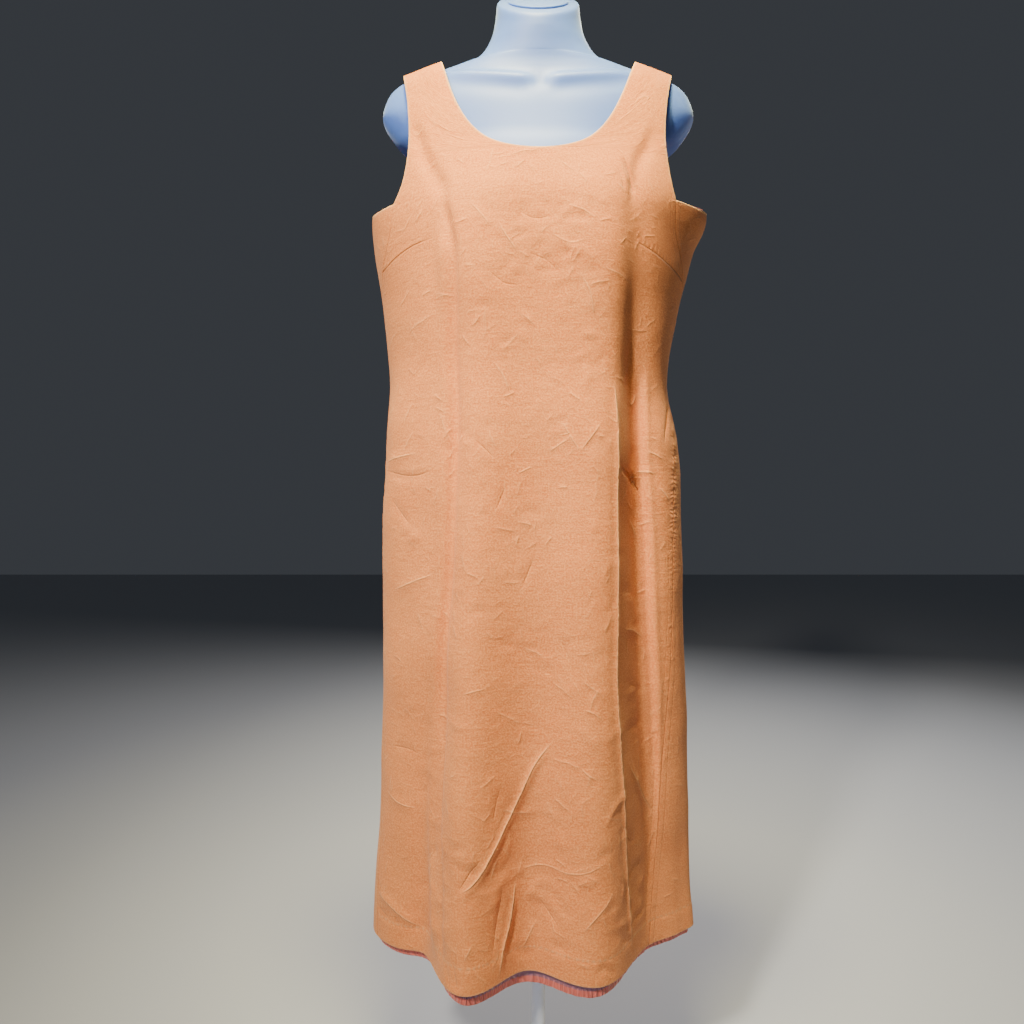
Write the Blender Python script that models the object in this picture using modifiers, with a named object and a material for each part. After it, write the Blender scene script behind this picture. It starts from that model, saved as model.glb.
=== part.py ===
"""Sleeveless, fully lined shift dress on a limbless dress form that stands on a pole and a round base.

Metres, +Z up. The dress faces -Y and the origin is the centre of the base's underside.
The cloth is one surface, read by two numbers: a turn round the wearer (0 at the left side, pi/2
at the front, pi at the right side, 3*pi/2 at the back) and a row of SECTIONS (0 at the hem).
Each maker's piece is a grid laid on that surface and given a wall.
"""

import math
from collections import namedtuple

import bmesh
import bpy
import numpy as np

COLLECTION_NAME = "shift_dress_on_form"

# Cloth
CLOTH_WALL = 0.0016
LINING_WALL = 0.0010
SIDE_SEAM_HALF_GAP = 0.0004
SHOULDER_SEAM_ROW_GAP = 0.012
LINING_GAP_AT_EDGE = 0.0006
LINING_GAP_INSIDE = 0.0028
LINING_GAP_AT_HEM = 0.0058
LINING_DROP_AT_SIDES = 0.006
LINING_DROP_AT_FRONT = 0.011
LINING_DROP_SPREAD = 0.11

# The panels' grids
HEM_TO_BUST_ROWS = 11
FRONT_HALF_COLUMNS = 14
BACK_HALF_COLUMNS = 11
FRONT_EDGE_LEVELS = (2, 11)
BACK_EDGE_LEVELS = (8, 6)
LEVEL_WEIGHT = 0.6
RING_SAMPLES = 720
PATH_SAMPLES = 160

Section = namedtuple("Section", "name height left right side_line front back squareness left_seam right_seam")
SECTIONS = (
    #       name          height   left     right   side    front    back  square  seams, forward of the side
    Section("hem",        0.2700, -0.2270, 0.2175,  0.035, -0.070,  0.107,  2.00,  0.036, 0.092),
    Section("calf",       0.3900, -0.2195, 0.2090,  0.031, -0.078,  0.104,  2.00,  0.030, 0.073),
    Section("knee",       0.5100, -0.2140, 0.2065,  0.027, -0.086,  0.101,  2.00,  0.026, 0.072),
    Section("thigh",      0.6700, -0.2105, 0.2000,  0.021, -0.097,  0.100,  2.00,  0.022, 0.063),
    Section("hip",        0.8300, -0.2080, 0.1950,  0.016, -0.105,  0.100,  2.00,  0.014, 0.059),
    Section("high hip",   0.9300, -0.2045, 0.1880,  0.012, -0.108,  0.094,  2.00,  0.006, 0.040),
    Section("waist",      1.0100, -0.1990, 0.1750,  0.010, -0.108,  0.087,  2.00,  0.000, 0.006),
    Section("under bust", 1.1000, -0.2080, 0.1870,  0.010, -0.111,  0.090,  2.00,  0.000, 0.004),
    Section("low bust",   1.1500, -0.2145, 0.2010,  0.012, -0.114,  0.096,  2.05,  0.044, 0.050),
    Section("bust",       1.1900, -0.2200, 0.2110,  0.017, -0.114,  0.101,  2.15,  0.081, 0.095),
    Section("underarm",   1.2270, -0.2230, 0.2255,  0.020, -0.110,  0.103,  2.30,  0.095, 0.118),
    Section("armhole",    1.2680, -0.2175, 0.2200,  0.019, -0.101,  0.102,  2.45,  0.095, 0.118),
    Section("chest",      1.3120, -0.2115, 0.2135,  0.015, -0.089,  0.096,  2.60,  0.095, 0.118),
    Section("yoke",       1.3580, -0.2070, 0.2080,  0.010, -0.075,  0.084,  2.75,  0.095, 0.118),
    Section("collar",     1.4020, -0.2050, 0.2050,  0.006, -0.056,  0.065,  2.80,  0.095, 0.118),
    Section("shoulder",   1.4300, -0.2050, 0.2050,  0.004, -0.026,  0.034,  2.80,  0.095, 0.118),
    Section("ridge",      1.4385, -0.2050, 0.2050,  0.004,  0.004,  0.004,  2.80,  0.095, 0.118),
)
BUST_ROW = 9
UNDERARM_ROW = 10
SLOPE_START_ROW = 11
RIDGE_ROW = 16
SHOULDER_SLOPE = 0.30

# Long folds that hang from the bust and the shoulder blades. Across is the fold's place in X.
Fold = namedtuple("Fold", "name face across spread rise")
FOLD_HEIGHTS = (0.27, 0.50, 0.75, 1.01, 1.185, 1.30)
FOLDS = (
    Fold("left ridge", "front",
         across=(-0.082, -0.083, -0.080, -0.080, -0.088, -0.090),
         spread=(0.046, 0.044, 0.042, 0.045, 0.055, 0.060),
         rise=(0.064, 0.040, 0.018, 0.011, 0.014, 0.000)),
    Fold("right ridge", "front",
         across=(0.061, 0.066, 0.074, 0.080, 0.088, 0.090),
         spread=(0.057, 0.052, 0.046, 0.042, 0.055, 0.060),
         rise=(0.045, 0.030, 0.016, 0.011, 0.014, 0.000)),
    Fold("left valley", "front",
         across=(-0.152, -0.134, -0.112, -0.107, -0.122, -0.130),
         spread=(0.023, 0.022, 0.018, 0.016, 0.018, 0.020),
         rise=(-0.013, -0.013, -0.010, -0.008, -0.004, 0.000)),
    Fold("right valley", "front",
         across=(0.162, 0.143, 0.127, 0.120, 0.114, 0.120),
         spread=(0.061, 0.042, 0.027, 0.021, 0.020, 0.020),
         rise=(-0.024, -0.027, -0.025, -0.018, -0.007, 0.000)),
    Fold("centre dip", "front",
         across=(-0.021, -0.012, -0.006, 0.000, 0.000, 0.000),
         spread=(0.052, 0.046, 0.040, 0.040, 0.040, 0.040),
         rise=(-0.011, -0.006, -0.003, -0.002, -0.002, 0.000)),
    Fold("back left ridge", "back",
         across=(-0.120, -0.112, -0.100, -0.090, -0.085, -0.085),
         spread=(0.032, 0.034, 0.038, 0.044, 0.055, 0.060),
         rise=(0.020, 0.014, 0.008, 0.006, 0.006, 0.000)),
    Fold("back left valley", "back",
         across=(-0.058, -0.052, -0.046, -0.040, -0.040, -0.040),
         spread=(0.026, 0.028, 0.030, 0.034, 0.040, 0.040),
         rise=(-0.020, -0.012, -0.006, -0.003, -0.002, 0.000)),
    Fold("back middle ridge", "back",
         across=(0.006, 0.004, 0.000, 0.000, 0.000, 0.000),
         spread=(0.030, 0.032, 0.036, 0.040, 0.040, 0.040),
         rise=(0.016, 0.009, 0.004, 0.000, 0.000, 0.000)),
    Fold("back right valley", "back",
         across=(0.070, 0.062, 0.054, 0.046, 0.044, 0.044),
         spread=(0.027, 0.030, 0.032, 0.036, 0.040, 0.040),
         rise=(-0.026, -0.016, -0.009, -0.004, -0.002, 0.000)),
    Fold("back right ridge", "back",
         across=(0.130, 0.120, 0.104, 0.092, 0.086, 0.086),
         spread=(0.030, 0.033, 0.038, 0.044, 0.055, 0.060),
         rise=(0.018, 0.013, 0.009, 0.006, 0.006, 0.000)),
)

# Neck and armholes. A Bezier's handles are named from its low end to its high end.
SHOULDER_INNER = 0.1290
SHOULDER_OUTER = 0.1795
FRONT_NECK_LOW = 1.2822
FRONT_NECK_LOW_HANDLE = 0.084
FRONT_NECK_HIGH_HANDLE = (0.1010, 1.3390)
BACK_NECK_LOW = 1.3880
BACK_NECK_LOW_HANDLE = 0.072
BACK_NECK_HIGH_HANDLE = (0.1150, 1.4080)
FRONT_ARMHOLE_LOW_HANDLE = (0.1560, 1.2600)
FRONT_ARMHOLE_HIGH_HANDLE = (0.1550, 1.3300)
BACK_ARMHOLE_LOW_HANDLE = (0.15, 1.2270)
BACK_ARMHOLE_HIGH_HANDLE = (0.90, 1.2620)
BACK_SHOULDER_TURN = 0.52
CHEST_LEAN = -0.0035

# Dress form
FormSection = namedtuple("FormSection", "name height half_width front back squareness tilt")
FORM_SECTIONS = (
    #           name          height   half    front    back   square tilt
    FormSection("foot rim",    0.7800, 0.1150, -0.056,  0.060,  2.2,  0.0),
    FormSection("foot edge",   0.7860, 0.1270, -0.066,  0.070,  2.2,  0.0),
    FormSection("foot side",   0.8000, 0.1330, -0.072,  0.075,  2.2,  0.0),
    FormSection("hip",         0.8600, 0.1380, -0.076,  0.079,  2.2,  0.0),
    FormSection("high hip",    0.9400, 0.1340, -0.075,  0.077,  2.2,  0.0),
    FormSection("waist",       1.0200, 0.1220, -0.073,  0.068,  2.2,  0.0),
    FormSection("under bust",  1.1100, 0.1340, -0.084,  0.076,  2.3,  0.0),
    FormSection("bust",        1.1800, 0.1480, -0.098,  0.085,  2.4,  0.0),
    FormSection("underarm",    1.2400, 0.1560, -0.093,  0.089,  2.5,  0.0),
    FormSection("chest",       1.2950, 0.1600, -0.079,  0.085,  2.5,  0.0),
    FormSection("cap foot",    1.3170, 0.1710, -0.071,  0.078,  2.4,  0.0),
    FormSection("cap low",     1.3330, 0.1900, -0.067,  0.073,  2.3,  0.0),
    FormSection("cap",         1.3620, 0.2075, -0.061,  0.067,  2.3,  0.0),
    FormSection("cap high",    1.3880, 0.2030, -0.055,  0.060,  2.2,  0.0),
    FormSection("cap top",     1.4050, 0.1915, -0.049,  0.054,  2.0,  0.0),
    FormSection("shoulder",    1.4145, 0.1720, -0.047,  0.052,  1.8,  0.0),
    FormSection("strap rest",  1.4235, 0.1450, -0.046,  0.051,  1.7,  0.0),
    FormSection("neck root",   1.4320, 0.1170, -0.046,  0.052,  1.7,  0.0),
    FormSection("neck flare",  1.4400, 0.0930, -0.047,  0.053,  1.8,  0.1),
    FormSection("neck low",    1.4560, 0.0740, -0.049,  0.054,  1.9,  0.2),
    FormSection("neck",        1.4790, 0.0620, -0.050,  0.055,  2.0,  0.4),
    FormSection("neck high",   1.5030, 0.0570, -0.050,  0.055,  2.0,  0.7),
    FormSection("neck rim",    1.5230, 0.0550, -0.049,  0.054,  2.0,  0.9),
    FormSection("neck top",    1.5265, 0.0510, -0.045,  0.050,  2.0,  0.9),
)
FORM_SIDE_LINE = 0.004
FORM_RING_STEPS = 32
FORM_LEVELS = 32
CAP_SHARE = 0.80
CAP_GAP = 0.0003
CAP_THICKNESS = 0.0025

# Stand
BASE_RADIUS = 0.160
BASE_THICKNESS = 0.012
BASE_EDGE_RADIUS = 0.004
POLE_RADIUS = 0.009
FIT_GAP = 0.0003
COLLAR_RADIUS = 0.020
COLLAR_TOP = 0.045
COLLAR_CHAMFER = 0.002
FLANGE_RADIUS = 0.045
FLANGE_THICKNESS = 0.005
SLEEVE_RADIUS = 0.016
SLEEVE_LENGTH = 0.050
TURNED_STEPS = 32

# Finishes: base colour, roughness, metallic
FINISHES = {
    "apricot_cloth": ((0.72, 0.31, 0.14), 0.80, 0.0),
    "coral_lining": ((0.56, 0.10, 0.08), 0.45, 0.0),
    "frosted_plastic": ((0.72, 0.77, 0.86), 0.35, 0.0),
    "white_steel": ((0.78, 0.79, 0.80), 0.35, 0.0),
}


# ---------------------------------------------------------------------------
# Smooth reading of the tables
# ---------------------------------------------------------------------------
def smooth_curve(at, knots, values, flat_end=False):
    """A cubic through the values at the knots. A flat end has no slope at the last knot."""
    knots = np.asarray(knots, float)
    values = np.asarray(values, float)
    slopes = np.gradient(values, knots)
    if flat_end:
        slopes[-1] = 0.0
    at = np.asarray(at, float)
    low = np.clip(np.searchsorted(knots, at, side="right") - 1, 0, len(knots) - 2)
    span = knots[low + 1] - knots[low]
    share = np.clip((at - knots[low]) / span, 0.0, 1.0)
    rest = 1.0 - share
    return (
        values[low] * (1.0 + 2.0 * share) * rest ** 2
        + slopes[low] * span * share * rest ** 2
        + values[low + 1] * (1.0 + 2.0 * rest) * share ** 2
        - slopes[low + 1] * span * rest * share ** 2
    )


def column(field, row):
    """One column of SECTIONS at a row, which may lie between two sections."""
    values = [getattr(section, field) for section in SECTIONS]
    return smooth_curve(row, range(len(SECTIONS)), values, flat_end=field == "height")


def ease(share):
    share = np.clip(share, 0.0, 1.0)
    return share * share * (3.0 - 2.0 * share)


# ---------------------------------------------------------------------------
# The cloth's outer face
# ---------------------------------------------------------------------------
def fold_rise(x, height, on_front):
    """How far the long folds stand out of the plain section, at points of one face."""
    total = np.zeros(np.broadcast(x, height, on_front).shape)
    for fold in FOLDS:
        across = smooth_curve(height, FOLD_HEIGHTS, fold.across)
        spread = smooth_curve(height, FOLD_HEIGHTS, fold.spread)
        rise = smooth_curve(height, FOLD_HEIGHTS, fold.rise)
        facing = on_front if fold.face == "front" else ~on_front
        total = total + facing * rise * np.exp(-((x - across) / spread) ** 2)
    return total


def cloth_face(turn, row):
    """Points of the cloth's outer face."""
    turn, row = np.broadcast_arrays(np.asarray(turn, float), np.asarray(row, float))
    half = (column("right", row) - column("left", row)) / 2.0
    centre = (column("right", row) + column("left", row)) / 2.0
    side = column("side_line", row)
    along = -np.cos(turn)
    out = np.sin(turn)
    on_front = out >= 0.0
    reach = np.where(on_front, side - column("front", row), column("back", row) - side)
    power = column("squareness", row)
    depth = (1.0 - np.abs(along) ** power) ** (1.0 / power)
    x = centre + half * along
    y = side - np.where(on_front, 1.0, -1.0) * reach * depth
    level = column("height", row)
    normal_x = along * (reach + 1e-4)
    normal_y = -out * half
    scale = fold_rise(x, level, on_front) / np.hypot(normal_x, normal_y)
    x = x + normal_x * scale
    y = y + normal_y * scale
    slope = SHOULDER_SLOPE * ease((row - SLOPE_START_ROW) / (RIDGE_ROW - SLOPE_START_ROW))
    z = level - slope * (np.abs(x) - SHOULDER_INNER)
    return np.stack([x, y, z], axis=-1)


def cloth_outward(turn, row):
    """Unit normals of the cloth's outer face."""
    step = 0.004
    turn, row = np.broadcast_arrays(np.asarray(turn, float), np.asarray(row, float))
    below = np.clip(row - step, 0.0, RIDGE_ROW)
    above = np.clip(row + step, 0.0, RIDGE_ROW)
    along = cloth_face(turn + step, row) - cloth_face(turn - step, row)
    upward = cloth_face(turn, above) - cloth_face(turn, below)
    normal = np.cross(along, upward)
    return normal / np.linalg.norm(normal, axis=-1, keepdims=True)


def row_at_height(height):
    rows = np.linspace(0.0, RIDGE_ROW, 1400)
    return np.interp(height, column("height", rows), rows)


def turn_and_row(x, height, on_front):
    """The turn and row of the point of one face that is seen at X and height from the front."""
    rows = np.linspace(SLOPE_START_ROW - 4.0, RIDGE_ROW, 900)
    slope = SHOULDER_SLOPE * ease((rows - SLOPE_START_ROW) / (RIDGE_ROW - SLOPE_START_ROW))
    levels = column("height", rows)
    row = np.array([
        np.interp(z, levels - slope * (abs(at) - SHOULDER_INNER), rows) for at, z in zip(x, height)
    ])
    half = (column("right", row) - column("left", row)) / 2.0
    centre = (column("right", row) + column("left", row)) / 2.0
    turn = np.arccos(np.clip((centre - x) / half, -1.0, 1.0))
    return (turn if on_front else 2.0 * math.pi - turn), row


def run_along(points):
    """The distance from the first point to each, along the line through them."""
    steps = np.linalg.norm(np.diff(points, axis=0), axis=-1)
    return np.concatenate([[0.0], np.cumsum(steps)])


def seam_turn(side, row, forward_shift):
    """The turn of a side seam at a row. A positive shift moves it along the cloth to the front."""
    turns = np.linspace(-1.2, 1.2, RING_SAMPLES)
    if side == "right":
        turns = math.pi - turns
    run = run_along(cloth_face(turns, row))
    start = np.interp(0.0, np.linspace(-1.2, 1.2, RING_SAMPLES), run)
    seam = float(column(side + "_seam", row))
    return float(np.interp(start + seam + forward_shift, run, turns))


# ---------------------------------------------------------------------------
# Edges of the panels, as paths of (turn, row)
# ---------------------------------------------------------------------------
def bezier(start, first, second, end, count=PATH_SAMPLES):
    share = np.linspace(0.0, 1.0, count)[:, None]
    rest = 1.0 - share
    start, first, second, end = (np.asarray(p, float) for p in (start, first, second, end))
    return (
        start * rest ** 3
        + first * 3.0 * share * rest ** 2
        + second * 3.0 * share ** 2 * rest
        + end * share ** 3
    )


def even_turns(first, last, row, steps):
    """Turns at even distances along one row of the cloth."""
    turns = np.linspace(first, last, RING_SAMPLES)
    run = run_along(cloth_face(turns, row))
    return np.interp(np.linspace(0.0, run[-1], steps + 1), run, turns)


def even_rows(turns, rows, low, high, steps):
    """Rows between two rows of an edge, at even distances along it, in which a climb counts for more."""
    points = cloth_face(turns, rows) * (LEVEL_WEIGHT, LEVEL_WEIGHT, 1.0)
    run = run_along(points)
    wanted = np.linspace(np.interp(low, rows, run), np.interp(high, rows, run), steps + 1)
    return np.interp(wanted, run, rows)[1:]


def chest_lean(height):
    """How far the chest leans to one side at a height, nothing at the underarm and the shoulder."""
    low = SECTIONS[UNDERARM_ROW].height
    share = np.clip((height - low) / (SECTIONS[RIDGE_ROW].height - low), 0.0, 1.0)
    return CHEST_LEAN * np.sin(math.pi * share)


def ridge_height(x):
    return SECTIONS[RIDGE_ROW].height - SHOULDER_SLOPE * (abs(x) - SHOULDER_INNER)


def neck_edge(side, on_front):
    """Half of the neckline, from its low middle to the shoulder."""
    sign = 1.0 if side == "right" else -1.0
    low = FRONT_NECK_LOW if on_front else BACK_NECK_LOW
    handle = FRONT_NECK_LOW_HANDLE if on_front else BACK_NECK_LOW_HANDLE
    high = FRONT_NECK_HIGH_HANDLE if on_front else BACK_NECK_HIGH_HANDLE
    curve = bezier((0.0, low), (handle, low), high, (SHOULDER_INNER, ridge_height(SHOULDER_INNER)))
    return turn_and_row(sign * curve[:, 0] + chest_lean(curve[:, 1]), curve[:, 1], on_front)


def armhole_edge(side, on_front):
    """An armhole from the top of the side seam to the shoulder."""
    sign = 1.0 if side == "right" else -1.0
    shift = SIDE_SEAM_HALF_GAP if on_front else -SIDE_SEAM_HALF_GAP
    start = seam_turn(side, UNDERARM_ROW, shift)
    if on_front:
        underarm = cloth_face(start, UNDERARM_ROW)
        end = (SHOULDER_OUTER, ridge_height(SHOULDER_OUTER))
        curve = bezier(
            (abs(underarm[0]), underarm[2]), FRONT_ARMHOLE_LOW_HANDLE, FRONT_ARMHOLE_HIGH_HANDLE, end
        )
        turns, rows = turn_and_row(sign * curve[:, 0] + chest_lean(curve[:, 1]), curve[:, 1], True)
    else:
        side_turn = math.pi if side == "right" else 2.0 * math.pi
        start = start if side == "right" else start + 2.0 * math.pi
        curve = bezier(
            ((start - side_turn) * sign, SECTIONS[UNDERARM_ROW].height),
            BACK_ARMHOLE_LOW_HANDLE,
            BACK_ARMHOLE_HIGH_HANDLE,
            (BACK_SHOULDER_TURN, ridge_height(SHOULDER_OUTER)),
        )
        turns = side_turn + sign * curve[:, 0]
        x = cloth_face(turns, row_at_height(curve[:, 1]))[:, 0]
        rows = turn_and_row(x, curve[:, 1], False)[1]
    turns[0] = start
    rows[0] = UNDERARM_ROW
    return turns, np.maximum.accumulate(rows)


# ---------------------------------------------------------------------------
# Panels
# ---------------------------------------------------------------------------
def outer_turn(side, on_front, row, armhole):
    """The turn of a panel's outer edge: its side seam, then its armhole."""
    if row > UNDERARM_ROW:
        return float(np.interp(row, armhole[1], armhole[0]))
    shift = SIDE_SEAM_HALF_GAP if on_front else -SIDE_SEAM_HALF_GAP
    turn = seam_turn(side, row, shift)
    return turn if on_front or side == "right" else turn + 2.0 * math.pi


def panel_net(on_front):
    """The turns and rows of a panel's grid, level by level up from the hem.

    A level runs from the first side to the middle and from the middle to the last side. Above the
    low middle of the neckline its two halves end at the neck's edges. Also the level of that middle.
    """
    first_side, last_side = ("left", "right") if on_front else ("right", "left")
    steps = FRONT_HALF_COLUMNS if on_front else BACK_HALF_COLUMNS
    below, above = FRONT_EDGE_LEVELS if on_front else BACK_EDGE_LEVELS
    armholes = {side: armhole_edge(side, on_front) for side in ("left", "right")}
    necks = {side: neck_edge(side, on_front) for side in ("left", "right")}
    neck_low = float(necks["left"][1][0])
    last_row = RIDGE_ROW - SHOULDER_SEAM_ROW_GAP
    heights = np.linspace(SECTIONS[0].height, SECTIONS[BUST_ROW].height, HEM_TO_BUST_ROWS + 1)
    side_rows = np.concatenate([
        row_at_height(heights),
        [UNDERARM_ROW],
        even_rows(*armholes["right"], UNDERARM_ROW, neck_low, below),
        even_rows(*necks["right"], neck_low, last_row, above),
    ])
    low_level = len(side_rows) - 1 - above
    # From a little below the bust the levels spread like a fan, wide in the middle of the panel.
    fan_level = HEM_TO_BUST_ROWS - 1
    fan_heights = column("height", np.array([side_rows[fan_level], neck_low]))
    middle_rows = side_rows.copy()
    middle_rows[fan_level:low_level + 1] = row_at_height(
        np.linspace(fan_heights[0], fan_heights[1], low_level - fan_level + 1)
    )
    nearness = (1.0 - np.linspace(0.0, 1.0, steps + 1)) ** 2
    nearness = np.concatenate([nearness, nearness[::-1]])
    rows = middle_rows[:, None] + (side_rows - middle_rows)[:, None] * nearness
    turns = []
    for row in side_rows:
        halves = []
        for side in (first_side, last_side):
            edge = outer_turn(side, on_front, row, armholes[side])
            inner = float(np.interp(row, necks[side][1], necks[side][0]))
            halves.append(even_turns(edge, inner, row, steps))
        turns.append(np.concatenate([halves[0], halves[1][::-1]]))
    return np.array(turns), rows, low_level


def lining_gap(row):
    """The space between dress and lining at a row."""
    height = column("height", row)
    hem = SECTIONS[0].height
    low = ease((SECTIONS[BUST_ROW].height - height) / (SECTIONS[BUST_ROW].height - hem))
    high = ease((row - UNDERARM_ROW) / (SLOPE_START_ROW + 1 - UNDERARM_ROW))
    gap = LINING_GAP_INSIDE + (LINING_GAP_AT_HEM - LINING_GAP_INSIDE) * low
    return gap + (LINING_GAP_AT_EDGE - LINING_GAP_INSIDE) * high


def lining_drop(x, on_front):
    """How far the lining hangs below the dress's hem."""
    centre = np.exp(-(x / LINING_DROP_SPREAD) ** 2) if on_front else 0.0
    return LINING_DROP_AT_SIDES + LINING_DROP_AT_FRONT * centre


def wall_object(name, guide, outer, inner, low_level, material):
    """A closed wall between two grids of points, whose halves part above a level.

    The guide is the grid that chooses each face's diagonal, so that layers with one guide stay apart.
    """
    levels, places = guide.shape[:2]
    half = places // 2
    guide, outer, inner = (points.reshape(-1, 3) for points in (guide, outer, inner))
    mesh = bpy.data.meshes.new(name)
    shape = bmesh.new()
    bmesh.ops.create_grid(shape, x_segments=places - 1, y_segments=levels - 1, size=0.5)
    number = shape.verts.layers.int.new("number")
    for vertex in shape.verts:
        place = round((vertex.co.x + 0.5) * (places - 1))
        level = round((vertex.co.y + 0.5) * (levels - 1))
        vertex[number] = level * places + place
        vertex.co = guide[vertex[number]]
    middle = [
        face for face in shape.faces
        if {half - 1, half} <= {vertex[number] % places for vertex in face.verts}
    ]
    bmesh.ops.delete(shape, geom=middle, context="FACES")
    pairs = {vertex[number]: vertex for vertex in shape.verts}
    joined = {
        pairs[level * places + half]: pairs[level * places + half - 1] for level in range(low_level + 1)
    }
    bmesh.ops.weld_verts(shape, targetmap=joined)
    bmesh.ops.triangulate(shape, faces=shape.faces[:], quad_method="SHORT_EDGE")
    made = bmesh.ops.extrude_face_region(shape, geom=shape.faces[:])["geom"]
    lifted = {item for item in made if isinstance(item, bmesh.types.BMVert)}
    for vertex in shape.verts:
        points = outer if vertex in lifted else inner
        vertex.co = points[vertex[number]]
    bmesh.ops.recalc_face_normals(shape, faces=shape.faces)
    shape.to_mesh(mesh)
    shape.free()
    mesh.materials.append(material)
    mesh.shade_smooth()
    mesh.set_sharp_from_angle(angle=math.radians(60.0))
    obj = bpy.data.objects.new(name, mesh)
    bpy.data.collections[COLLECTION_NAME].objects.link(obj)
    return obj


def make_dress_panel(name, on_front):
    turns, rows, low_level = panel_net(on_front)
    face = cloth_face(turns, rows)
    inner = face - cloth_outward(turns, rows) * CLOTH_WALL
    return wall_object(name, face, face, inner, low_level, finish("apricot_cloth"))


def make_lining_panel(name, on_front):
    turns, rows, low_level = panel_net(on_front)
    face = cloth_face(turns, rows)
    outward = cloth_outward(turns, rows)
    depth = (CLOTH_WALL + lining_gap(rows))[:, :, None]
    outer = face - outward * depth
    inner = face - outward * (depth + LINING_WALL)
    drop = lining_drop(outer[0, :, 0], on_front)
    outer[0, :, 2] -= drop
    inner[0, :, 2] -= drop
    return wall_object(name, face, outer, inner, low_level, finish("coral_lining"))


# ---------------------------------------------------------------------------
# Dress form
# ---------------------------------------------------------------------------
def form_rings():
    """Rings of points up the form, from its foot to the cut of its neck."""
    knots = range(len(FORM_SECTIONS))
    at = np.linspace(0.0, len(FORM_SECTIONS) - 1.0, FORM_LEVELS + 1)
    read = {
        field: smooth_curve(at, knots, [getattr(section, field) for section in FORM_SECTIONS])
        for field in FormSection._fields[1:]
    }
    turns = np.linspace(0.0, 2.0 * math.pi, FORM_RING_STEPS + 1)
    rings = []
    for level in range(FORM_LEVELS + 1):
        along = -np.cos(turns)
        out = np.sin(turns)
        power = read["squareness"][level]
        size = (np.abs(along) ** power + np.abs(out) ** power) ** (1.0 / power)
        along = along / size
        out = out / size
        front = FORM_SIDE_LINE - read["front"][level]
        back = read["back"][level] - FORM_SIDE_LINE
        x = read["half_width"][level] * along
        y = FORM_SIDE_LINE - np.where(out >= 0.0, front, back) * out
        z = read["height"][level] + read["tilt"][level] * (y - FORM_SIDE_LINE)
        rings.append(np.stack([x, y, z], axis=-1))
    return np.array(rings)


def closed_loft(name, rings, material):
    """A closed solid through rings of points, with a face over each end."""
    mesh = bpy.data.meshes.new(name)
    shape = bmesh.new()
    levels, places = rings.shape[:2]
    bmesh.ops.create_grid(shape, x_segments=places - 1, y_segments=levels - 1, size=0.5)
    for vertex in shape.verts:
        place = round((vertex.co.x + 0.5) * (places - 1))
        level = round((vertex.co.y + 0.5) * (levels - 1))
        vertex.co = rings[level, place]
    bmesh.ops.remove_doubles(shape, verts=shape.verts, dist=1e-5)
    open_edges = [edge for edge in shape.edges if edge.is_boundary]
    bmesh.ops.holes_fill(shape, edges=open_edges, sides=0)
    bmesh.ops.recalc_face_normals(shape, faces=shape.faces)
    shape.to_mesh(mesh)
    shape.free()
    mesh.materials.append(material)
    mesh.shade_smooth()
    mesh.set_sharp_from_angle(angle=math.radians(40.0))
    obj = bpy.data.objects.new(name, mesh)
    bpy.data.collections[COLLECTION_NAME].objects.link(obj)
    return obj


def make_form():
    return closed_loft("form_torso", form_rings(), finish("frosted_plastic"))


def make_neck_cap():
    """A disc on the slanted cut of the neck."""
    rim = form_rings()[-1]
    middle = rim[:-1].mean(axis=0)
    small = middle + (rim - middle) * CAP_SHARE
    tilt = FORM_SECTIONS[-1].tilt
    lift = np.array([0.0, -tilt, 1.0]) / math.hypot(1.0, tilt)
    lower = small + lift * CAP_GAP
    upper = small + lift * (CAP_GAP + CAP_THICKNESS)
    return closed_loft("form_neck_cap", np.array([lower, upper]), finish("frosted_plastic"))


# ---------------------------------------------------------------------------
# Stand
# ---------------------------------------------------------------------------
def turned(name, profile, material, closed):
    """A solid turned round the Z axis from a profile of (radius, height), top to bottom outside."""
    mesh = bpy.data.meshes.new(name)
    shape = bmesh.new()
    vertices = [shape.verts.new((radius, 0.0, height)) for radius, height in profile]
    for first, second in zip(vertices, vertices[1:]):
        shape.edges.new((first, second))
    if closed:
        shape.edges.new((vertices[-1], vertices[0]))
    shape.to_mesh(mesh)
    shape.free()
    mesh.materials.append(material)
    obj = bpy.data.objects.new(name, mesh)
    bpy.data.collections[COLLECTION_NAME].objects.link(obj)
    screw = obj.modifiers.new("turn", "SCREW")
    screw.steps = TURNED_STEPS
    screw.render_steps = TURNED_STEPS
    screw.use_merge_vertices = True
    screw.merge_threshold = 0.00005
    screw.use_smooth_shade = True
    return obj


def make_base():
    """A round plate with a rounded upper edge."""
    arc = [math.radians(angle) for angle in (90.0, 60.0, 30.0, 0.0)]
    rounding = [
        (
            BASE_RADIUS - BASE_EDGE_RADIUS * (1.0 - math.cos(angle)),
            BASE_THICKNESS - BASE_EDGE_RADIUS * (1.0 - math.sin(angle)),
        )
        for angle in arc
    ]
    profile = [(0.0, BASE_THICKNESS), *rounding, (BASE_RADIUS, 0.0), (0.0, 0.0)]
    return turned("stand_base", profile, finish("white_steel"), closed=False)


def make_collar():
    """A collar on the base that holds the pole's foot."""
    foot = BASE_THICKNESS + FIT_GAP
    bore = POLE_RADIUS + FIT_GAP
    profile = [
        (bore, COLLAR_TOP),
        (COLLAR_RADIUS - COLLAR_CHAMFER, COLLAR_TOP),
        (COLLAR_RADIUS, COLLAR_TOP - COLLAR_CHAMFER),
        (COLLAR_RADIUS, foot),
        (bore, foot),
    ]
    return turned("stand_collar", profile, finish("white_steel"), closed=True)


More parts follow.
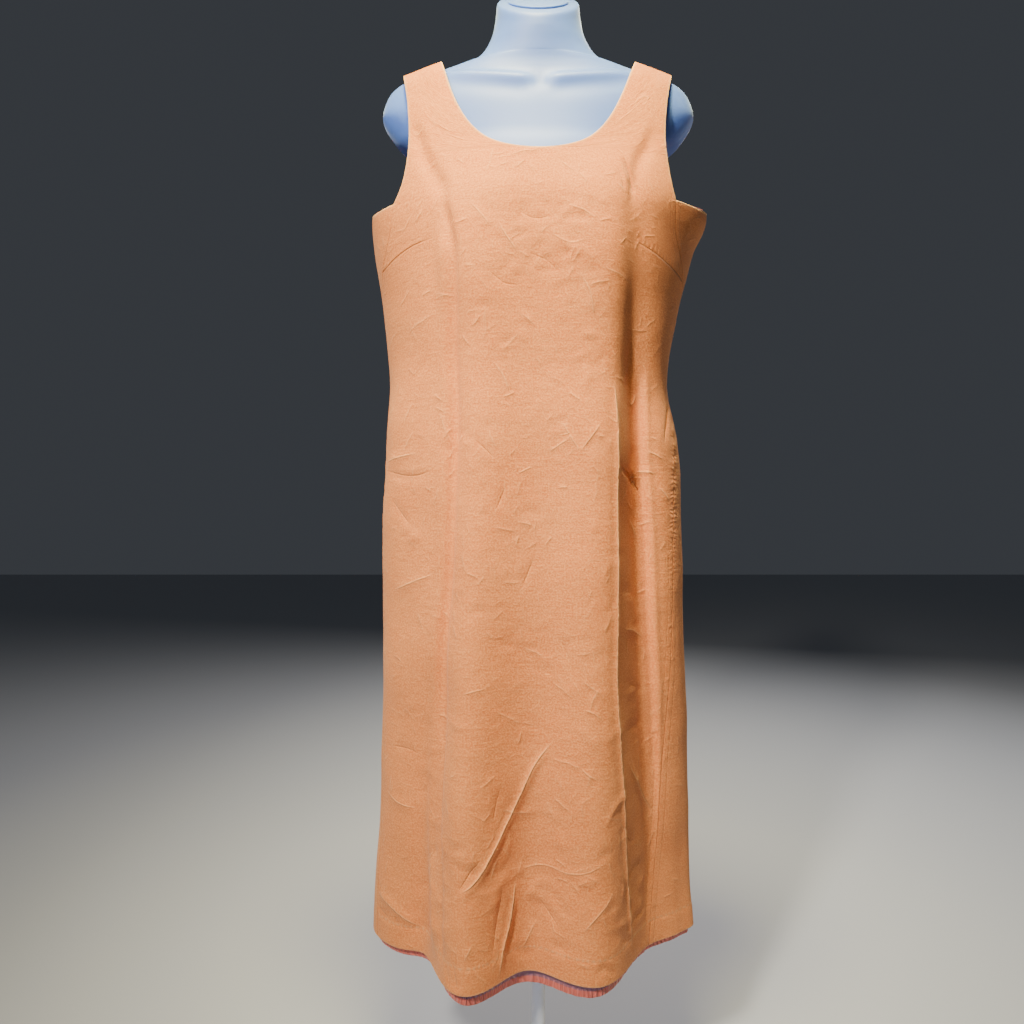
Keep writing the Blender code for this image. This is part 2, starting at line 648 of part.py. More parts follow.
def make_pole():
    """A round pole from the base to the form's foot."""
    low = BASE_THICKNESS + FIT_GAP
    high = FORM_SECTIONS[0].height - FIT_GAP
    mesh = bpy.data.meshes.new("stand_pole")
    shape = bmesh.new()
    bmesh.ops.create_cone(
        shape,
        cap_ends=True,
        segments=TURNED_STEPS,
        radius1=POLE_RADIUS,
        radius2=POLE_RADIUS,
        depth=high - low,
    )
    bmesh.ops.translate(shape, verts=shape.verts, vec=(0.0, 0.0, (low + high) / 2.0))
    shape.to_mesh(mesh)
    shape.free()
    mesh.materials.append(finish("white_steel"))
    mesh.shade_smooth()
    mesh.set_sharp_from_angle(angle=math.radians(40.0))
    obj = bpy.data.objects.new("stand_pole", mesh)
    bpy.data.collections[COLLECTION_NAME].objects.link(obj)
    return obj


def make_flange():
    """A flanged sleeve that joins the form's foot to the pole."""
    top = FORM_SECTIONS[0].height - FIT_GAP
    bore = POLE_RADIUS + FIT_GAP
    profile = [
        (bore, top),
        (FLANGE_RADIUS, top),
        (FLANGE_RADIUS, top - FLANGE_THICKNESS),
        (SLEEVE_RADIUS + 0.003, top - FLANGE_THICKNESS),
        (SLEEVE_RADIUS, top - FLANGE_THICKNESS - 0.004),
        (SLEEVE_RADIUS, top - SLEEVE_LENGTH),
        (bore, top - SLEEVE_LENGTH),
    ]
    return turned("stand_flange", profile, finish("white_steel"), closed=True)


# ---------------------------------------------------------------------------
# Scene
# ---------------------------------------------------------------------------
def finish(name):
    """The material of this name, made the first time it is asked for."""
    material = bpy.data.materials.get(name)
    if material:
        return material
    colour, roughness, metallic = FINISHES[name]
    material = bpy.data.materials.new(name)
    material.use_nodes = True
    shader = material.node_tree.nodes["Principled BSDF"]
    shader.inputs["Base Color"].default_value = (*colour, 1.0)
    shader.inputs["Roughness"].default_value = roughness
    shader.inputs["Metallic"].default_value = metallic
    material.diffuse_color = (*colour, 1.0)
    return material


def main():
    for obj in list(bpy.data.objects):
        bpy.data.objects.remove(obj, do_unlink=True)
    collection = bpy.data.collections.new(COLLECTION_NAME)
    bpy.context.scene.collection.children.link(collection)
    make_dress_panel("dress_front", on_front=True)
    make_dress_panel("dress_back", on_front=False)
    make_lining_panel("lining_front", on_front=True)
    make_lining_panel("lining_back", on_front=False)
    make_form()
    make_neck_cap()
    make_base()
    make_collar()
    make_pole()
    make_flange()


main()
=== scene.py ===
"""Finish of a lined, sleeveless shift dress on a dress form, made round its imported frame.

Metres, +Z up. The dress faces -Y. The cloth is one surface, read by two numbers: a turn round the
wearer (0 at the left side, pi/2 at the front, pi at the right side, 3*pi/2 at the back) and a row of
SECTIONS (0 at the hem). Each panel is a fine grid on that surface, with creases, seams and a wall.
"""

import math
from collections import namedtuple
from functools import lru_cache
from itertools import starmap

import bmesh
import bpy
import numpy as np
from mathutils import Matrix, Vector, kdtree


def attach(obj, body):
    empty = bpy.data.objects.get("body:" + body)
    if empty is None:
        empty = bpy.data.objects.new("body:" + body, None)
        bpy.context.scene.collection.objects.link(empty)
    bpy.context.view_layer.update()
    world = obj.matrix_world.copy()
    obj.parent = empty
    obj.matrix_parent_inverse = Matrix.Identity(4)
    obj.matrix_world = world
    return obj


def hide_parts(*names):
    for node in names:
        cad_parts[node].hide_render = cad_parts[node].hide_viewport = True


bl_info = {
    "name": "Shift Dress on a Dress Form",
    "version": (1, 0, 0),
    "blender": (4, 5, 0),
    "location": "3D Viewport > Sidebar > Dress",
    "description": "Cloth, lining, sewing, form, stand and studio of a sleeveless shift dress",
    "category": "Add Mesh",
}

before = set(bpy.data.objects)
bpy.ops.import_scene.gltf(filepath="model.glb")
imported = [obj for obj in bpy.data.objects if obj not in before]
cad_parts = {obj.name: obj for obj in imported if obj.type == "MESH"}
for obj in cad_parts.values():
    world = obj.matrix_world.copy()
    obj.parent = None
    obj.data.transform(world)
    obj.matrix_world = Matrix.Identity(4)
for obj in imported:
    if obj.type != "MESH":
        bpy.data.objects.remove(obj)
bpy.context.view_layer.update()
BODY = "root"

# ---- The cut: sections of the dress, long folds, edges ----
Section = namedtuple("Section", "name height left right side_line front back squareness left_seam right_seam")
SECTIONS = tuple(starmap(Section, (
    # name         height   left     right   side    front    back  square  seams' shift forward
    ("hem",        0.2700, -0.2270, 0.2175,  0.035, -0.070,  0.107,  2.00,  0.036, 0.0932),
    ("calf",       0.3900, -0.2195, 0.2090,  0.031, -0.078,  0.104,  2.00,  0.030, 0.0735),
    ("knee",       0.5100, -0.2140, 0.2065,  0.027, -0.086,  0.101,  2.00,  0.026, 0.072),
    ("thigh",      0.6700, -0.2105, 0.2000,  0.021, -0.097,  0.100,  2.00,  0.022, 0.063),
    ("hip",        0.8300, -0.2080, 0.1950,  0.016, -0.105,  0.100,  2.00,  0.014, 0.059),
    ("high hip",   0.9300, -0.2045, 0.1880,  0.012, -0.108,  0.094,  2.00,  0.006, 0.040),
    ("waist",      1.0100, -0.1990, 0.1750,  0.010, -0.108,  0.087,  2.00,  0.000, 0.006),
    ("under bust", 1.1000, -0.2080, 0.1870,  0.010, -0.111,  0.090,  2.00,  0.000, 0.004),
    ("low bust",   1.1500, -0.2145, 0.2010,  0.012, -0.114,  0.096,  2.05,  0.044, 0.050),
    ("bust",       1.1900, -0.2200, 0.2110,  0.017, -0.114,  0.101,  2.15,  0.081, 0.095),
    ("underarm",   1.2270, -0.2230, 0.2255,  0.020, -0.110,  0.103,  2.30,  0.095, 0.118),
    ("armhole",    1.2680, -0.2175, 0.2200,  0.019, -0.101,  0.102,  2.45,  0.095, 0.118),
    ("chest",      1.3120, -0.2115, 0.2135,  0.015, -0.089,  0.096,  2.60,  0.095, 0.118),
    ("yoke",       1.3580, -0.2070, 0.2080,  0.010, -0.075,  0.084,  2.75,  0.095, 0.118),
    ("collar",     1.4020, -0.2050, 0.2050,  0.006, -0.056,  0.065,  2.80,  0.095, 0.118),
    ("shoulder",   1.4300, -0.2050, 0.2050,  0.004, -0.026,  0.034,  2.80,  0.095, 0.118),
    ("ridge",      1.4385, -0.2050, 0.2050,  0.004,  0.004,  0.004,  2.80,  0.095, 0.118),
)))
WAIST_ROW = 6
BUST_ROW = 9
UNDERARM_ROW = 10
SLOPE_START_ROW = 11
RIDGE_ROW = 16
SHOULDER_SLOPE = 0.30
HEM_HEIGHT = SECTIONS[0].height


def millimetres(values):
    """Values of a table in millimetres, as metres."""
    return tuple(value / 1000.0 for value in values)


# Long folds that hang from the bust and the shoulder blades: a fold's place in X, its half width and
# its rise, in millimetres at each of FOLD_HEIGHTS
Fold = namedtuple("Fold", "name face across spread rise")
FOLD_HEIGHTS = (0.27, 0.50, 0.75, 1.01, 1.185, 1.30)
FOLDS = tuple(Fold(name, face, *map(millimetres, shape)) for name, face, *shape in (
    ("left ridge", "front", (-82, -83, -80, -80, -88, -90), (46, 44, 42, 45, 55, 60),
     (64, 40, 18, 11, 14, 0)),
    ("right ridge", "front", (61, 66, 74, 80, 88, 90), (57, 52, 46, 42, 55, 60), (45, 30, 16, 11, 14, 0)),
    ("left valley", "front", (-152, -134, -112, -107, -122, -130), (23, 22, 18, 16, 18, 20),
     (-13, -13, -10, -8, -4, 0)),
    ("right valley", "front", (162, 143, 127, 120, 114, 120), (61, 42, 27, 21, 20, 20),
     (-24, -27, -25, -18, -7, 0)),
    ("centre dip", "front", (-21, -12, -6, 0, 0, 0), (52, 46, 40, 40, 40, 40), (-11, -6, -3, -2, -2, 0)),
    ("back left ridge", "back", (-120, -112, -100, -90, -85, -85), (32, 34, 38, 44, 55, 60),
     (20, 14, 8, 6, 6, 0)),
    ("back left valley", "back", (-58, -52, -46, -40, -40, -40), (26, 28, 30, 34, 40, 40),
     (-20, -12, -6, -3, -2, 0)),
    ("back middle ridge", "back", (6, 4, 0, 0, 0, 0), (30, 32, 36, 40, 40, 40), (16, 9, 4, 0, 0, 0)),
    ("back right valley", "back", (70, 62, 54, 46, 44, 44), (27, 30, 32, 36, 40, 40),
     (-26, -16, -9, -4, -2, 0)),
    ("back right ridge", "back", (130, 120, 104, 92, 86, 86), (30, 33, 38, 44, 55, 60),
     (18, 13, 9, 6, 6, 0)),
))

# Neck and armholes, as the ends and handles of Bezier curves. A neck has its lowest height and its
# handles at the low and the high end. The back armhole's X is a turn from the side.
SHOULDER_INNER = 0.1290
SHOULDER_OUTER = 0.1795
FRONT_NECK = (1.2822, 0.084, (0.1010, 1.3390))
BACK_NECK = (1.3880, 0.072, (0.1150, 1.4080))
FRONT_ARMHOLE_HANDLES = ((0.1560, 1.2600), (0.1550, 1.3300))
BACK_ARMHOLE_HANDLES = ((0.15, 1.2270), (0.90, 1.2620))
BACK_SHOULDER_TURN = 0.52
CHEST_LEAN = -0.0035
SEAM_HALF_GAP = 0.00008
SHOULDER_SEAM_ROW_GAP = 0.004

# Sewn edges: the hem's second layer, and the least share of a wall's thickness at its edge
HEM_LAYER = 0.00045
THIN_EDGE = 0.12

# The lining: its space inside the dress at the bust, with what is added at the hem and taken away at
# the shoulders, how far it hangs below the dress's hem at the sides and how much more at the front's
# middle, over what height it is let down, and its puckers
LINING_GAP = 0.0028
LINING_GAP_AT_HEM = 0.0030
LINING_GAP_AT_SHOULDER = 0.0022
LINING_DROP = 0.0105
LINING_DROP_AT_MIDDLE = 0.0085
LINING_DROP_SPREAD = 0.11
LINING_DROP_REACH = 0.0836
LINING_PUCKER = 0.00030
LINING_PUCKER_PITCH = 0.0061

# Relief in the material: strokes of fine creases as (cells per metre, width, half length, patches per
# metre), then the heights of the strokes, of crinkles along the threads and of dents
FINE_STROKES = ((15.0, 0.0010, 0.026, 9.0), (27.0, 0.0008, 0.016, 13.0), (46.0, 0.0007, 0.010, 19.0))
FINE_CREASE_HEIGHT = 0.00062
CRINKLE = 0.00055
DENT = 0.00110

# The panels' nets
FAN_HEIGHT = 1.1064
LEVEL_WEIGHT = 0.6
RING_SAMPLES = 600
SIDE_BLEND = 0.30
SIDE_MARGIN = 0.24
BODY_SPACING = 0.80
YOKE_SPACING = 0.85
MORE_SKIRT_ROWS = 6
CLOSE_STEPS = (0.0, 0.0004, 0.0009, 0.0016, 0.0026, 0.0040, 0.0060, 0.0085, 0.0115, 0.0150)
EDGES = ("seam", "armhole", "neck", "shoulder", "hem")
EDGE_REACH = 0.060

# How far creases may move the cloth in and out, how far from one its shape reaches, in widths, how
# long it tapers at most, as a share of its length and as a length, and what brings the peak of its
# lean to one
DEEPEST_CREASE = -0.0060
HIGHEST_CREASE = 0.0056
CREASE_REACH = 3.2
TAPER_SHARE = 0.35
LONGEST_TAPER = 0.045
LEAN_SCALE = 2.33

# How far from a seam, an open edge and a shoulder the creases are held down, and the share of them
# that is left at an open edge
SEAM_HOLD = 0.012
EDGE_HOLD = 0.014
SHOULDER_HOLD = 0.020
EDGE_SHARE = 0.35

# Crumples stay inside this share of their area. The narrowest creases are also drawn as sharp lines
# in the material, with this share of their rise.
CRUMPLE_REACH = 0.86
LINE_REACH = 0.016
FAR_FROM_LINES = 0.05
FINE_WIDTH = 0.0051
FINE_SHARE = 0.60

# The slow waver of the whole cloth: how many waves, their lengths and the slope of each
WAVES = 22
WAVE_LENGTHS = (0.050, 0.170)
WAVE_SLOPE = 0.012

# ---- Creases ----
# In millimetres: rise, width, lean and points. Rise stands out of the cloth and lean lifts the line's
# left side over its right one. Points are (X, height), seen from the front on the front and through
# the cloth on the back.
Crease = namedtuple("Crease", "name rise width lean points")


def crease_table(*rows):
    return tuple(
        Crease(row[0], *millimetres(row[1:4]), tuple(millimetres(point) for point in row[4:]))
        for row in rows
    )


FRONT_CREASES = crease_table(
    # Upper body
    ("left strap drag", -3.5, 11, 2, (-160, 1345), (-147, 1300), (-133, 1266), (-118, 1236),
     (-108, 1205)),
    ("left strap drag, lower", -2.2, 9, 0, (-126, 1226), (-118, 1208), (-112, 1180), (-107, 1120),
     (-106, 1050)),
    ("left flank roll", 5.2, 10.5, 0, (-120, 1190), (-115.5, 1110), (-116, 1040), (-113.5, 960),
     (-115, 880), (-120, 760), (-128, 660), (-134, 520), (-136, 430), (-133, 350), (-131, 285)),
    ("left panel edge", -2.4, 8, 1.8, (-119, 1236), (-110, 1185), (-103, 1142), (-103.5, 1050),
     (-101, 974), (-102.5, 890), (-107, 782), (-113.5, 687), (-119, 564), (-123.5, 440), (-121, 360),
     (-119, 285)),
    ("right strap drag", -2.5, 10, -1.5, (142, 1330), (130, 1295), (116, 1267), (108, 1225),
     (106, 1190)),
    ("right drag crease", -2.2, 3.5, 1.3, (99, 1275), (108, 1247), (115, 1219)),
    ("right drag crease, inner", -1, 4, 0, (90, 1262), (97, 1240), (100, 1215)),
    ("bust line", 1.6, 20, 0, (-98, 1222), (-50, 1226), (0, 1227), (50, 1226), (95, 1222)),
    ("upper 1", 0.9, 4, 0, (-86, 1210), (-69, 1190), (-58, 1176)),
    ("upper 2", 0.9, 4, 0, (-53, 1186), (-40, 1165), (-26, 1146)),
    ("upper 3", -0.7, 4, 0, (-30, 1200), (-8, 1189), (14, 1193)),
    ("upper 4", 0.7, 4, 0, (10, 1172), (34, 1160), (52, 1163)),
    ("upper 5", -0.7, 4, 0, (-20, 1150), (6, 1140), (20, 1126)),
    ("upper 6", 0.7, 4, 0, (28, 1206), (50, 1198), (66, 1186)),
    ("upper 7", -0.7, 4, 0, (-66, 1128), (-44, 1112), (-24, 1110)),
    ("upper 8", 0.9, 5, 0, (44, 1128), (58, 1102), (64, 1070)),
    # Middle
    ("middle V, left arm", 1.1, 4, -0.5, (24, 950), (36, 929), (48, 911)),
    ("middle V, right arm", 1, 4, 0.5, (46, 912), (60, 930), (74, 950)),
    ("middle 2", 1, 4, 0, (10, 912), (22, 921), (34, 928)),
    ("middle 3", -1, 4, 0, (-80, 927), (-67, 915), (-54, 902)),
    ("middle 4", 0.9, 4, 0, (-30, 885), (-20, 890), (-10, 895)),
    ("middle 5", -1, 4, 0, (-55, 840), (-48, 856), (-42, 872)),
    ("middle 6", -1, 4, 0, (-24, 746), (-15, 768), (-7, 788)),
    ("middle 7", 0.9, 4, 0, (-96, 621), (-80, 626), (-64, 629)),
    ("middle 8", -0.9, 5, 0, (20, 690), (34, 662), (40, 632)),
    ("middle 9", 0.9, 5, 0, (-60, 1022), (-46, 1004), (-36, 980)),
    # Left flank
    ("flank 1", 1.2, 5, 0, (-204, 905), (-180, 910), (-152, 914)),
    ("flank 2", -1.4, 5, 0.5, (-200, 895), (-175, 887), (-152, 886), (-129, 893)),
    ("flank 3", -1.2, 5, 0, (-190, 857), (-176, 838), (-163, 822)),
    ("flank 4", 1.1, 5, 0, (-190, 738), (-160, 752), (-130, 764)),
    ("flank 5", -1, 5, 0, (-192, 534), (-172, 536), (-151, 532)),
    ("flank 6", 1.1, 5, 0, (-202, 473), (-182, 463), (-154, 461)),
    ("flank 7", 1.9, 5, 0.7, (-222, 336), (-206, 329), (-190, 321), (-168, 309), (-148, 302)),
    ("flank 8", -1.2, 4, 0, (-218, 315), (-206, 309), (-193, 303)),
    # Right plane and right strip
    ("right fold edge", 2.9, 4.5, 0.9, (90, 1000), (92, 879), (92, 733), (93, 613), (99, 512),
     (104, 426), (111, 346), (116, 285)),
    ("right strip edge", -0.4, 6.2, 3.4, (131, 1030), (132, 905), (139, 807), (144, 700), (153, 569),
     (160, 460), (163, 366), (164, 280)),
    ("right plane tilt", 0, 17, -2.2, (116, 1010), (116, 905), (119, 807), (123, 700), (128, 569),
     (133, 460), (137, 366), (140, 280)),
    ("plane 1", -2.6, 4, 1.2, (94, 899), (105, 892), (116, 883), (132, 853)),
    ("plane 2", 1.2, 4, 0, (107, 984), (116, 975), (125, 992)),
    ("plane 3", 1.2, 4, 0, (111, 832), (118, 820), (124, 805)),
    ("plane 4", 1.2, 4, 0, (102, 696), (120, 688), (138, 676)),
    ("plane 5", 1.4, 5, 0.5, (109, 530), (118, 505), (130, 478), (153, 443)),
    ("plane 6", -1.1, 4, 0, (103, 446), (111, 432), (120, 419)),
    ("strip 1", 1.1, 3.5, 0, (133, 917), (146, 913), (160, 906)),
    ("strip 2", 1.2, 3.5, 0, (120, 890), (134, 891), (148, 888)),
    ("strip 3", 1.1, 3.5, 0, (149, 873), (158, 865), (167, 853)),
    ("waist pleat", -1.9, 3, 0, (160, 925), (166, 955), (172, 985)),
    # Lower front
    ("long low ridge", 2.4, 4.2, 1.2, (16, 563), (-6, 533), (-22, 503), (-42, 463), (-60, 430),
     (-80, 400), (-101, 386)),
    ("low 1", 1, 4, 0, (48, 532), (57, 524), (66, 519)),
    ("low 2", -1, 4, 0, (-49, 509), (-54, 488), (-58, 465)),
    ("low 3", -1.4, 4, 0, (-71, 428), (-86, 409), (-103, 384)),
    ("low arc", 0.9, 4, 0, (-34, 396), (-12, 403), (8, 406), (30, 402), (54, 406), (83, 420)),
    ("low sharp fold", 2.7, 3.2, 1.4, (-30, 392), (-35, 360), (-40, 335), (-48, 308), (-53, 272)),
    ("low sharp trough", -1.9, 4, 0, (-47, 388), (-49, 365), (-53, 345), (-60, 300)),
    ("low 4", -1.2, 5, 0, (-6, 367), (8, 350), (23, 331)),
    ("low 5", 1.2, 4, 0, (-6, 334), (-13, 318), (-22, 300)),
    ("low 6", 1.4, 5, 0, (91, 384), (78, 366), (62, 349), (48, 331)),
    ("low 7", 1.2, 4, 0, (-82, 330), (-87, 320), (-92, 310)),
    ("low 8", -1.4, 5, 0, (-106, 310), (-103, 292), (-99, 272)),
)
BACK_CREASES = crease_table(
    ("left blade drag", -2.6, 10, 1.2, (-158, 1370), (-146, 1320), (-130, 1270), (-112, 1215)),
    ("right blade drag", -2.6, 10, -1.2, (160, 1365), (147, 1312), (128, 1262), (108, 1205)),
    ("left underarm drag", 1.2, 6, 0, (-195, 1196), (-165, 1172), (-130, 1160)),
    ("right underarm drag", 1.2, 6, 0, (196, 1190), (166, 1168), (134, 1150)),
    ("waist 1", -1.2, 5, 0, (-70, 1040), (-30, 1026), (12, 1030)),
    ("waist 2", 1.2, 5, 0, (-10, 1004), (34, 996), (74, 1006)),
    ("waist 3", -1, 5, 0, (46, 1060), (82, 1046), (112, 1050)),
    ("waist 4", 1, 5, 0, (-120, 992), (-92, 984), (-60, 990)),
    ("seat V, left arm", 1.2, 4, 0, (-60, 872), (-44, 850), (-34, 828)),
    ("seat V, right arm", 1.1, 4, 0, (-36, 828), (-18, 846), (-4, 868)),
    ("seat 1", -1.1, 5, 0, (40, 846), (62, 826), (86, 818)),
    ("seat 2", 1.2, 5, 0, (84, 760), (104, 742), (130, 736)),
    ("middle 1", -1.1, 5, 0, (-120, 706), (-98, 690), (-74, 688)),
    ("middle 2", 1.1, 5, 0, (12, 664), (26, 640), (34, 612)),
    ("low 1", 1.7, 5, 0.7, (-30, 560), (-50, 524), (-74, 492), (-100, 470)),
    ("low 2", -1.2, 5, 0, (64, 520), (80, 490), (90, 456)),
    ("low 3", 1.4, 5, 0, (-10, 410), (20, 402), (50, 408), (78, 422)),
    ("low 4", -1.4, 5, 0, (-90, 372), (-74, 348), (-64, 318)),
    ("low 5", 1.7, 4, 0.7, (34, 372), (40, 338), (48, 306), (50, 274)),
    ("low 6", 1.4, 5, 0, (190, 342), (166, 334), (140, 322)),
    ("low 7", 1.2, 5, 0, (-196, 420), (-170, 410), (-150, 396)),
)

# Small crumples: how many, where, and how long and deep the largest is.
Crumples = namedtuple("Crumples", "count left right low high longest deepest")
FRONT_CRUMPLES = (
    Crumples(56, -0.090, 0.085, 1.095, 1.215, 0.030, 0.00090),
    Crumples(44, -0.190, 0.150, 0.780, 1.090, 0.042, 0.00099),
    Crumples(44, -0.195, 0.150, 0.480, 0.780, 0.046, 0.00090),
    Crumples(58, -0.205, 0.160, 0.285, 0.480, 0.050, 0.00150),
)
BACK_CRUMPLES = (
    Crumples(40, -0.150, 0.150, 1.060, 1.260, 0.036, 0.00090),
    Crumples(56, -0.190, 0.180, 0.760, 1.060, 0.044, 0.00112),
    Crumples(40, -0.195, 0.185, 0.480, 0.760, 0.046, 0.00099),
    Crumples(40, -0.205, 0.195, 0.285, 0.480, 0.050, 0.00121),
)

# Sharp lines of the front that are drawn finer than the net: its darts and a pressed fold. Rise and
# points are in millimetres, and puckers are a share of their full strength.
Line = namedtuple("Line", "name rise puckers points")
FRONT_LINES = tuple(
    Line(name, rise / 1000.0, puckers, tuple(map(millimetres, points)))
    for name, rise, puckers, *points in (
        ("left dart", -1, 1.0, (-216, 1150), (-199, 1152), (-177, 1161), (-156, 1168), (-128, 1173)),
        ("right dart", -1, 1.0, (196, 1138), (180, 1144), (162, 1150), (142, 1158), (110, 1171)),
        ("right fold press", 0.7, 0.0, (92, 960), (92, 879), (92, 733), (93, 613), (99, 512), (104, 426),
         (111, 346), (116, 285)),
    )
)

# ---- The dress form: sections of its closed skin ----
FormSection = namedtuple("FormSection", "name height half_width front back squareness tilt")
FORM_SECTIONS = tuple(starmap(FormSection, (
    # name         height   half    front    back   square tilt
    ("foot rim",    0.7800, 0.1150, -0.056,  0.060,  2.2,  0.0),
    ("foot edge",   0.7860, 0.1270, -0.066,  0.070,  2.2,  0.0),
    ("foot side",   0.8000, 0.1330, -0.072,  0.075,  2.2,  0.0),
    ("hip",         0.8600, 0.1380, -0.076,  0.079,  2.2,  0.0),
    ("high hip",    0.9400, 0.1340, -0.075,  0.077,  2.2,  0.0),
    ("waist",       1.0200, 0.1220, -0.073,  0.068,  2.2,  0.0),
    ("under bust",  1.1100, 0.1340, -0.084,  0.076,  2.3,  0.0),
    ("bust",        1.1800, 0.1480, -0.098,  0.085,  2.4,  0.0),
    ("underarm",    1.2400, 0.1560, -0.093,  0.089,  2.5,  0.0),
    ("chest",       1.2950, 0.1600, -0.079,  0.085,  2.5,  0.0),
    ("cap foot",    1.3170, 0.1710, -0.071,  0.078,  2.4,  0.0),
    ("cap low",     1.3330, 0.1900, -0.067,  0.073,  2.3,  0.0),
    ("cap",         1.3620, 0.2075, -0.061,  0.067,  2.3,  0.0),
    ("cap high",    1.3880, 0.2030, -0.055,  0.060,  2.2,  0.0),
    ("cap top",     1.4050, 0.1915, -0.049,  0.054,  2.0,  0.0),
    ("shoulder",    1.4145, 0.1720, -0.047,  0.052,  1.8,  0.0),
    ("strap rest",  1.4235, 0.1450, -0.0462, 0.051,  1.7,  0.0),
    ("neck root",   1.4320, 0.1170, -0.0464, 0.052,  1.7,  0.0),
    ("neck flare",  1.4400, 0.0930, -0.0467, 0.053,  1.8,  0.1),
    ("neck low",    1.4560, 0.0740, -0.0474, 0.054,  1.9,  0.2),
    ("neck",        1.4790, 0.0620, -0.0484, 0.055,  2.0,  0.4),
    ("neck high",   1.5030, 0.0570, -0.0488, 0.055,  2.0,  0.7),
    ("neck rim",    1.5230, 0.0550, -0.0482, 0.054,  2.0,  0.9),
    ("neck top",    1.5265, 0.0510, -0.0444, 0.050,  2.0,  0.9),
)))
FORM_SIDE_LINE = 0.004
DISC_SHARE = 0.80
DISC_GAP = 0.0003
DISC_THICKNESS = 0.0025


# ---- Settings that a user may change ----
def colour_property(name, description, default):
    return bpy.props.FloatVectorProperty(
        name=name, description=description, default=default, subtype="COLOR", size=3, min=0.0, max=1.0
    )


def length_property(name, description, default):
    return bpy.props.FloatProperty(
        name=name, description=description, default=default, min=0.0, precision=5, unit="LENGTH"
    )


class ShiftDressCloth(bpy.types.PropertyGroup):
    """Sizes and colours of the dress and its lining"""

    wall: length_property("Cloth wall", "Thickness of the dress's cloth", 0.0016)
    lining_wall: length_property("Lining wall", "Thickness of the lining", 0.0010)
    edge_roll: length_property("Edge roll", "Width over which a sewn edge rounds off", 0.0013)
    hem_depth: length_property("Hem depth", "Height of the hem's stitches above the hem", 0.030)
    lining_hem_depth: length_property("Lining hem depth", "Height of the lining's narrow hem", 0.0066)
    thread_pitch: length_property("Thread pitch", "Distance from one thread of the weave to the next", 0.0006)
    crease_strength: bpy.props.FloatProperty(
        name="Crease strength", description="Share of the full depth of every crease", default=1.0,
        min=0.0, max=2.0,
    )
    cloth: colour_property("Cloth", "Base colour of the dress's cloth", (0.700, 0.160, 0.031))
    cloth_pale: colour_property("Pale threads", "Colour of the cloth's palest threads", (0.960, 0.385, 0.115))
    lining: colour_property("Lining", "Base colour of the lining", (0.640, 0.130, 0.085))
    # The lining's painted shade, where one layer hangs free below the dress's hem
    lining_painted_shade: colour_property(
        "Lining painted shade", "Painted shade where one layer of lining hangs free", (0.30, 0.125, 0.155)
    )


class ShiftDressForm(bpy.types.PropertyGroup):
    """Colours of the dress form and its stand"""

    plastic: colour_property("Plastic", "Base colour of the form's frosted plastic", (0.120, 0.235, 0.68))
    steel: colour_property("Steel", "Colour of the stand's powder coat", (0.78, 0.79, 0.80))


class ShiftDressStudio(bpy.types.PropertyGroup):
    """Floor, lights and camera"""

    floor: colour_property("Floor", "Colour of the floor", (0.48, 0.49, 0.51))
    backdrop: colour_property("Air", "Colour of the light from all sides", (0.60, 0.66, 0.76))
    camera_place: bpy.props.FloatVectorProperty(
        name="Camera", description="Place of the camera", default=(-0.035, -1.0, 0.84), size=3,
        subtype="TRANSLATION",
    )
    camera_lens: bpy.props.FloatProperty(
        name="Lens", description="Focal length in millimetres on a 36 mm sensor", default=26.19, min=1.0
    )
    key_power: bpy.props.FloatProperty(
        name="Key light", description="Power of the key light in watts", default=7.8, min=0.0, unit="POWER"
    )


# ---- Smooth reading of the tables ----
@lru_cache(maxsize=None)
def knots_values_slopes(knots, values, flat_end):
    slopes = np.gradient(values, knots)
    if flat_end:
        slopes[-1] = 0.0
    return np.array(knots, float), np.array(values, float), slopes


def smooth_curve(at, knots, values, flat_end=False):
    """A cubic through the values at the knots. A flat end has no slope at the last knot."""
    knots, values, slopes = knots_values_slopes(tuple(knots), tuple(values), flat_end)
    at = np.asarray(at, float)
    low = np.clip(np.searchsorted(knots, at, side="right") - 1, 0, len(knots) - 2)
    span = knots[low + 1] - knots[low]
    share = np.clip((at - knots[low]) / span, 0.0, 1.0)
    rest = 1.0 - share
    return (
        values[low] * (1.0 + 2.0 * share) * rest ** 2
        + slopes[low] * span * share * rest ** 2
        + values[low + 1] * (1.0 + 2.0 * rest) * share ** 2
        - slopes[low + 1] * span * rest * share ** 2
    )


SECTION_COLUMNS = {
    field: tuple(getattr(section, field) for section in SECTIONS) for field in Section._fields[1:]
}


def column(field, row):
    """One column of SECTIONS at a row, which may lie between two sections."""
    return smooth_curve(row, range(len(SECTIONS)), SECTION_COLUMNS[field], flat_end=field == "height")


def ease(share):
    share = np.clip(share, 0.0, 1.0)
    return share * share * (3.0 - 2.0 * share)


# ---- The cloth's plain outer face ----
def fold_rise(x, height, out):
    """How far the long folds stand out of the plain section. Out is 1 in front, -1 behind."""
    total = np.zeros(np.broadcast(x, height, out).shape)
    in_front = ease(out / SIDE_BLEND)
    behind = ease(-out / SIDE_BLEND)
    for fold in FOLDS:
        across = smooth_curve(height, FOLD_HEIGHTS, fold.across)
        spread = smooth_curve(height, FOLD_HEIGHTS, fold.spread)
        rise = smooth_curve(height, FOLD_HEIGHTS, fold.rise)
        facing = in_front if fold.face == "front" else behind
        total = total + facing * rise * np.exp(-((x - across) / spread) ** 2)
    return total


def half_and_centre(row):
    """Half the dress's width at a row, and the X of its middle."""
    left, right = column("left", row), column("right", row)
    return (right - left) / 2.0, (right + left) / 2.0


def shoulder_slope(row):
    """How steeply the cloth falls to the shoulders' ends at a row."""
    return SHOULDER_SLOPE * ease((row - SLOPE_START_ROW) / (RIDGE_ROW - SLOPE_START_ROW))


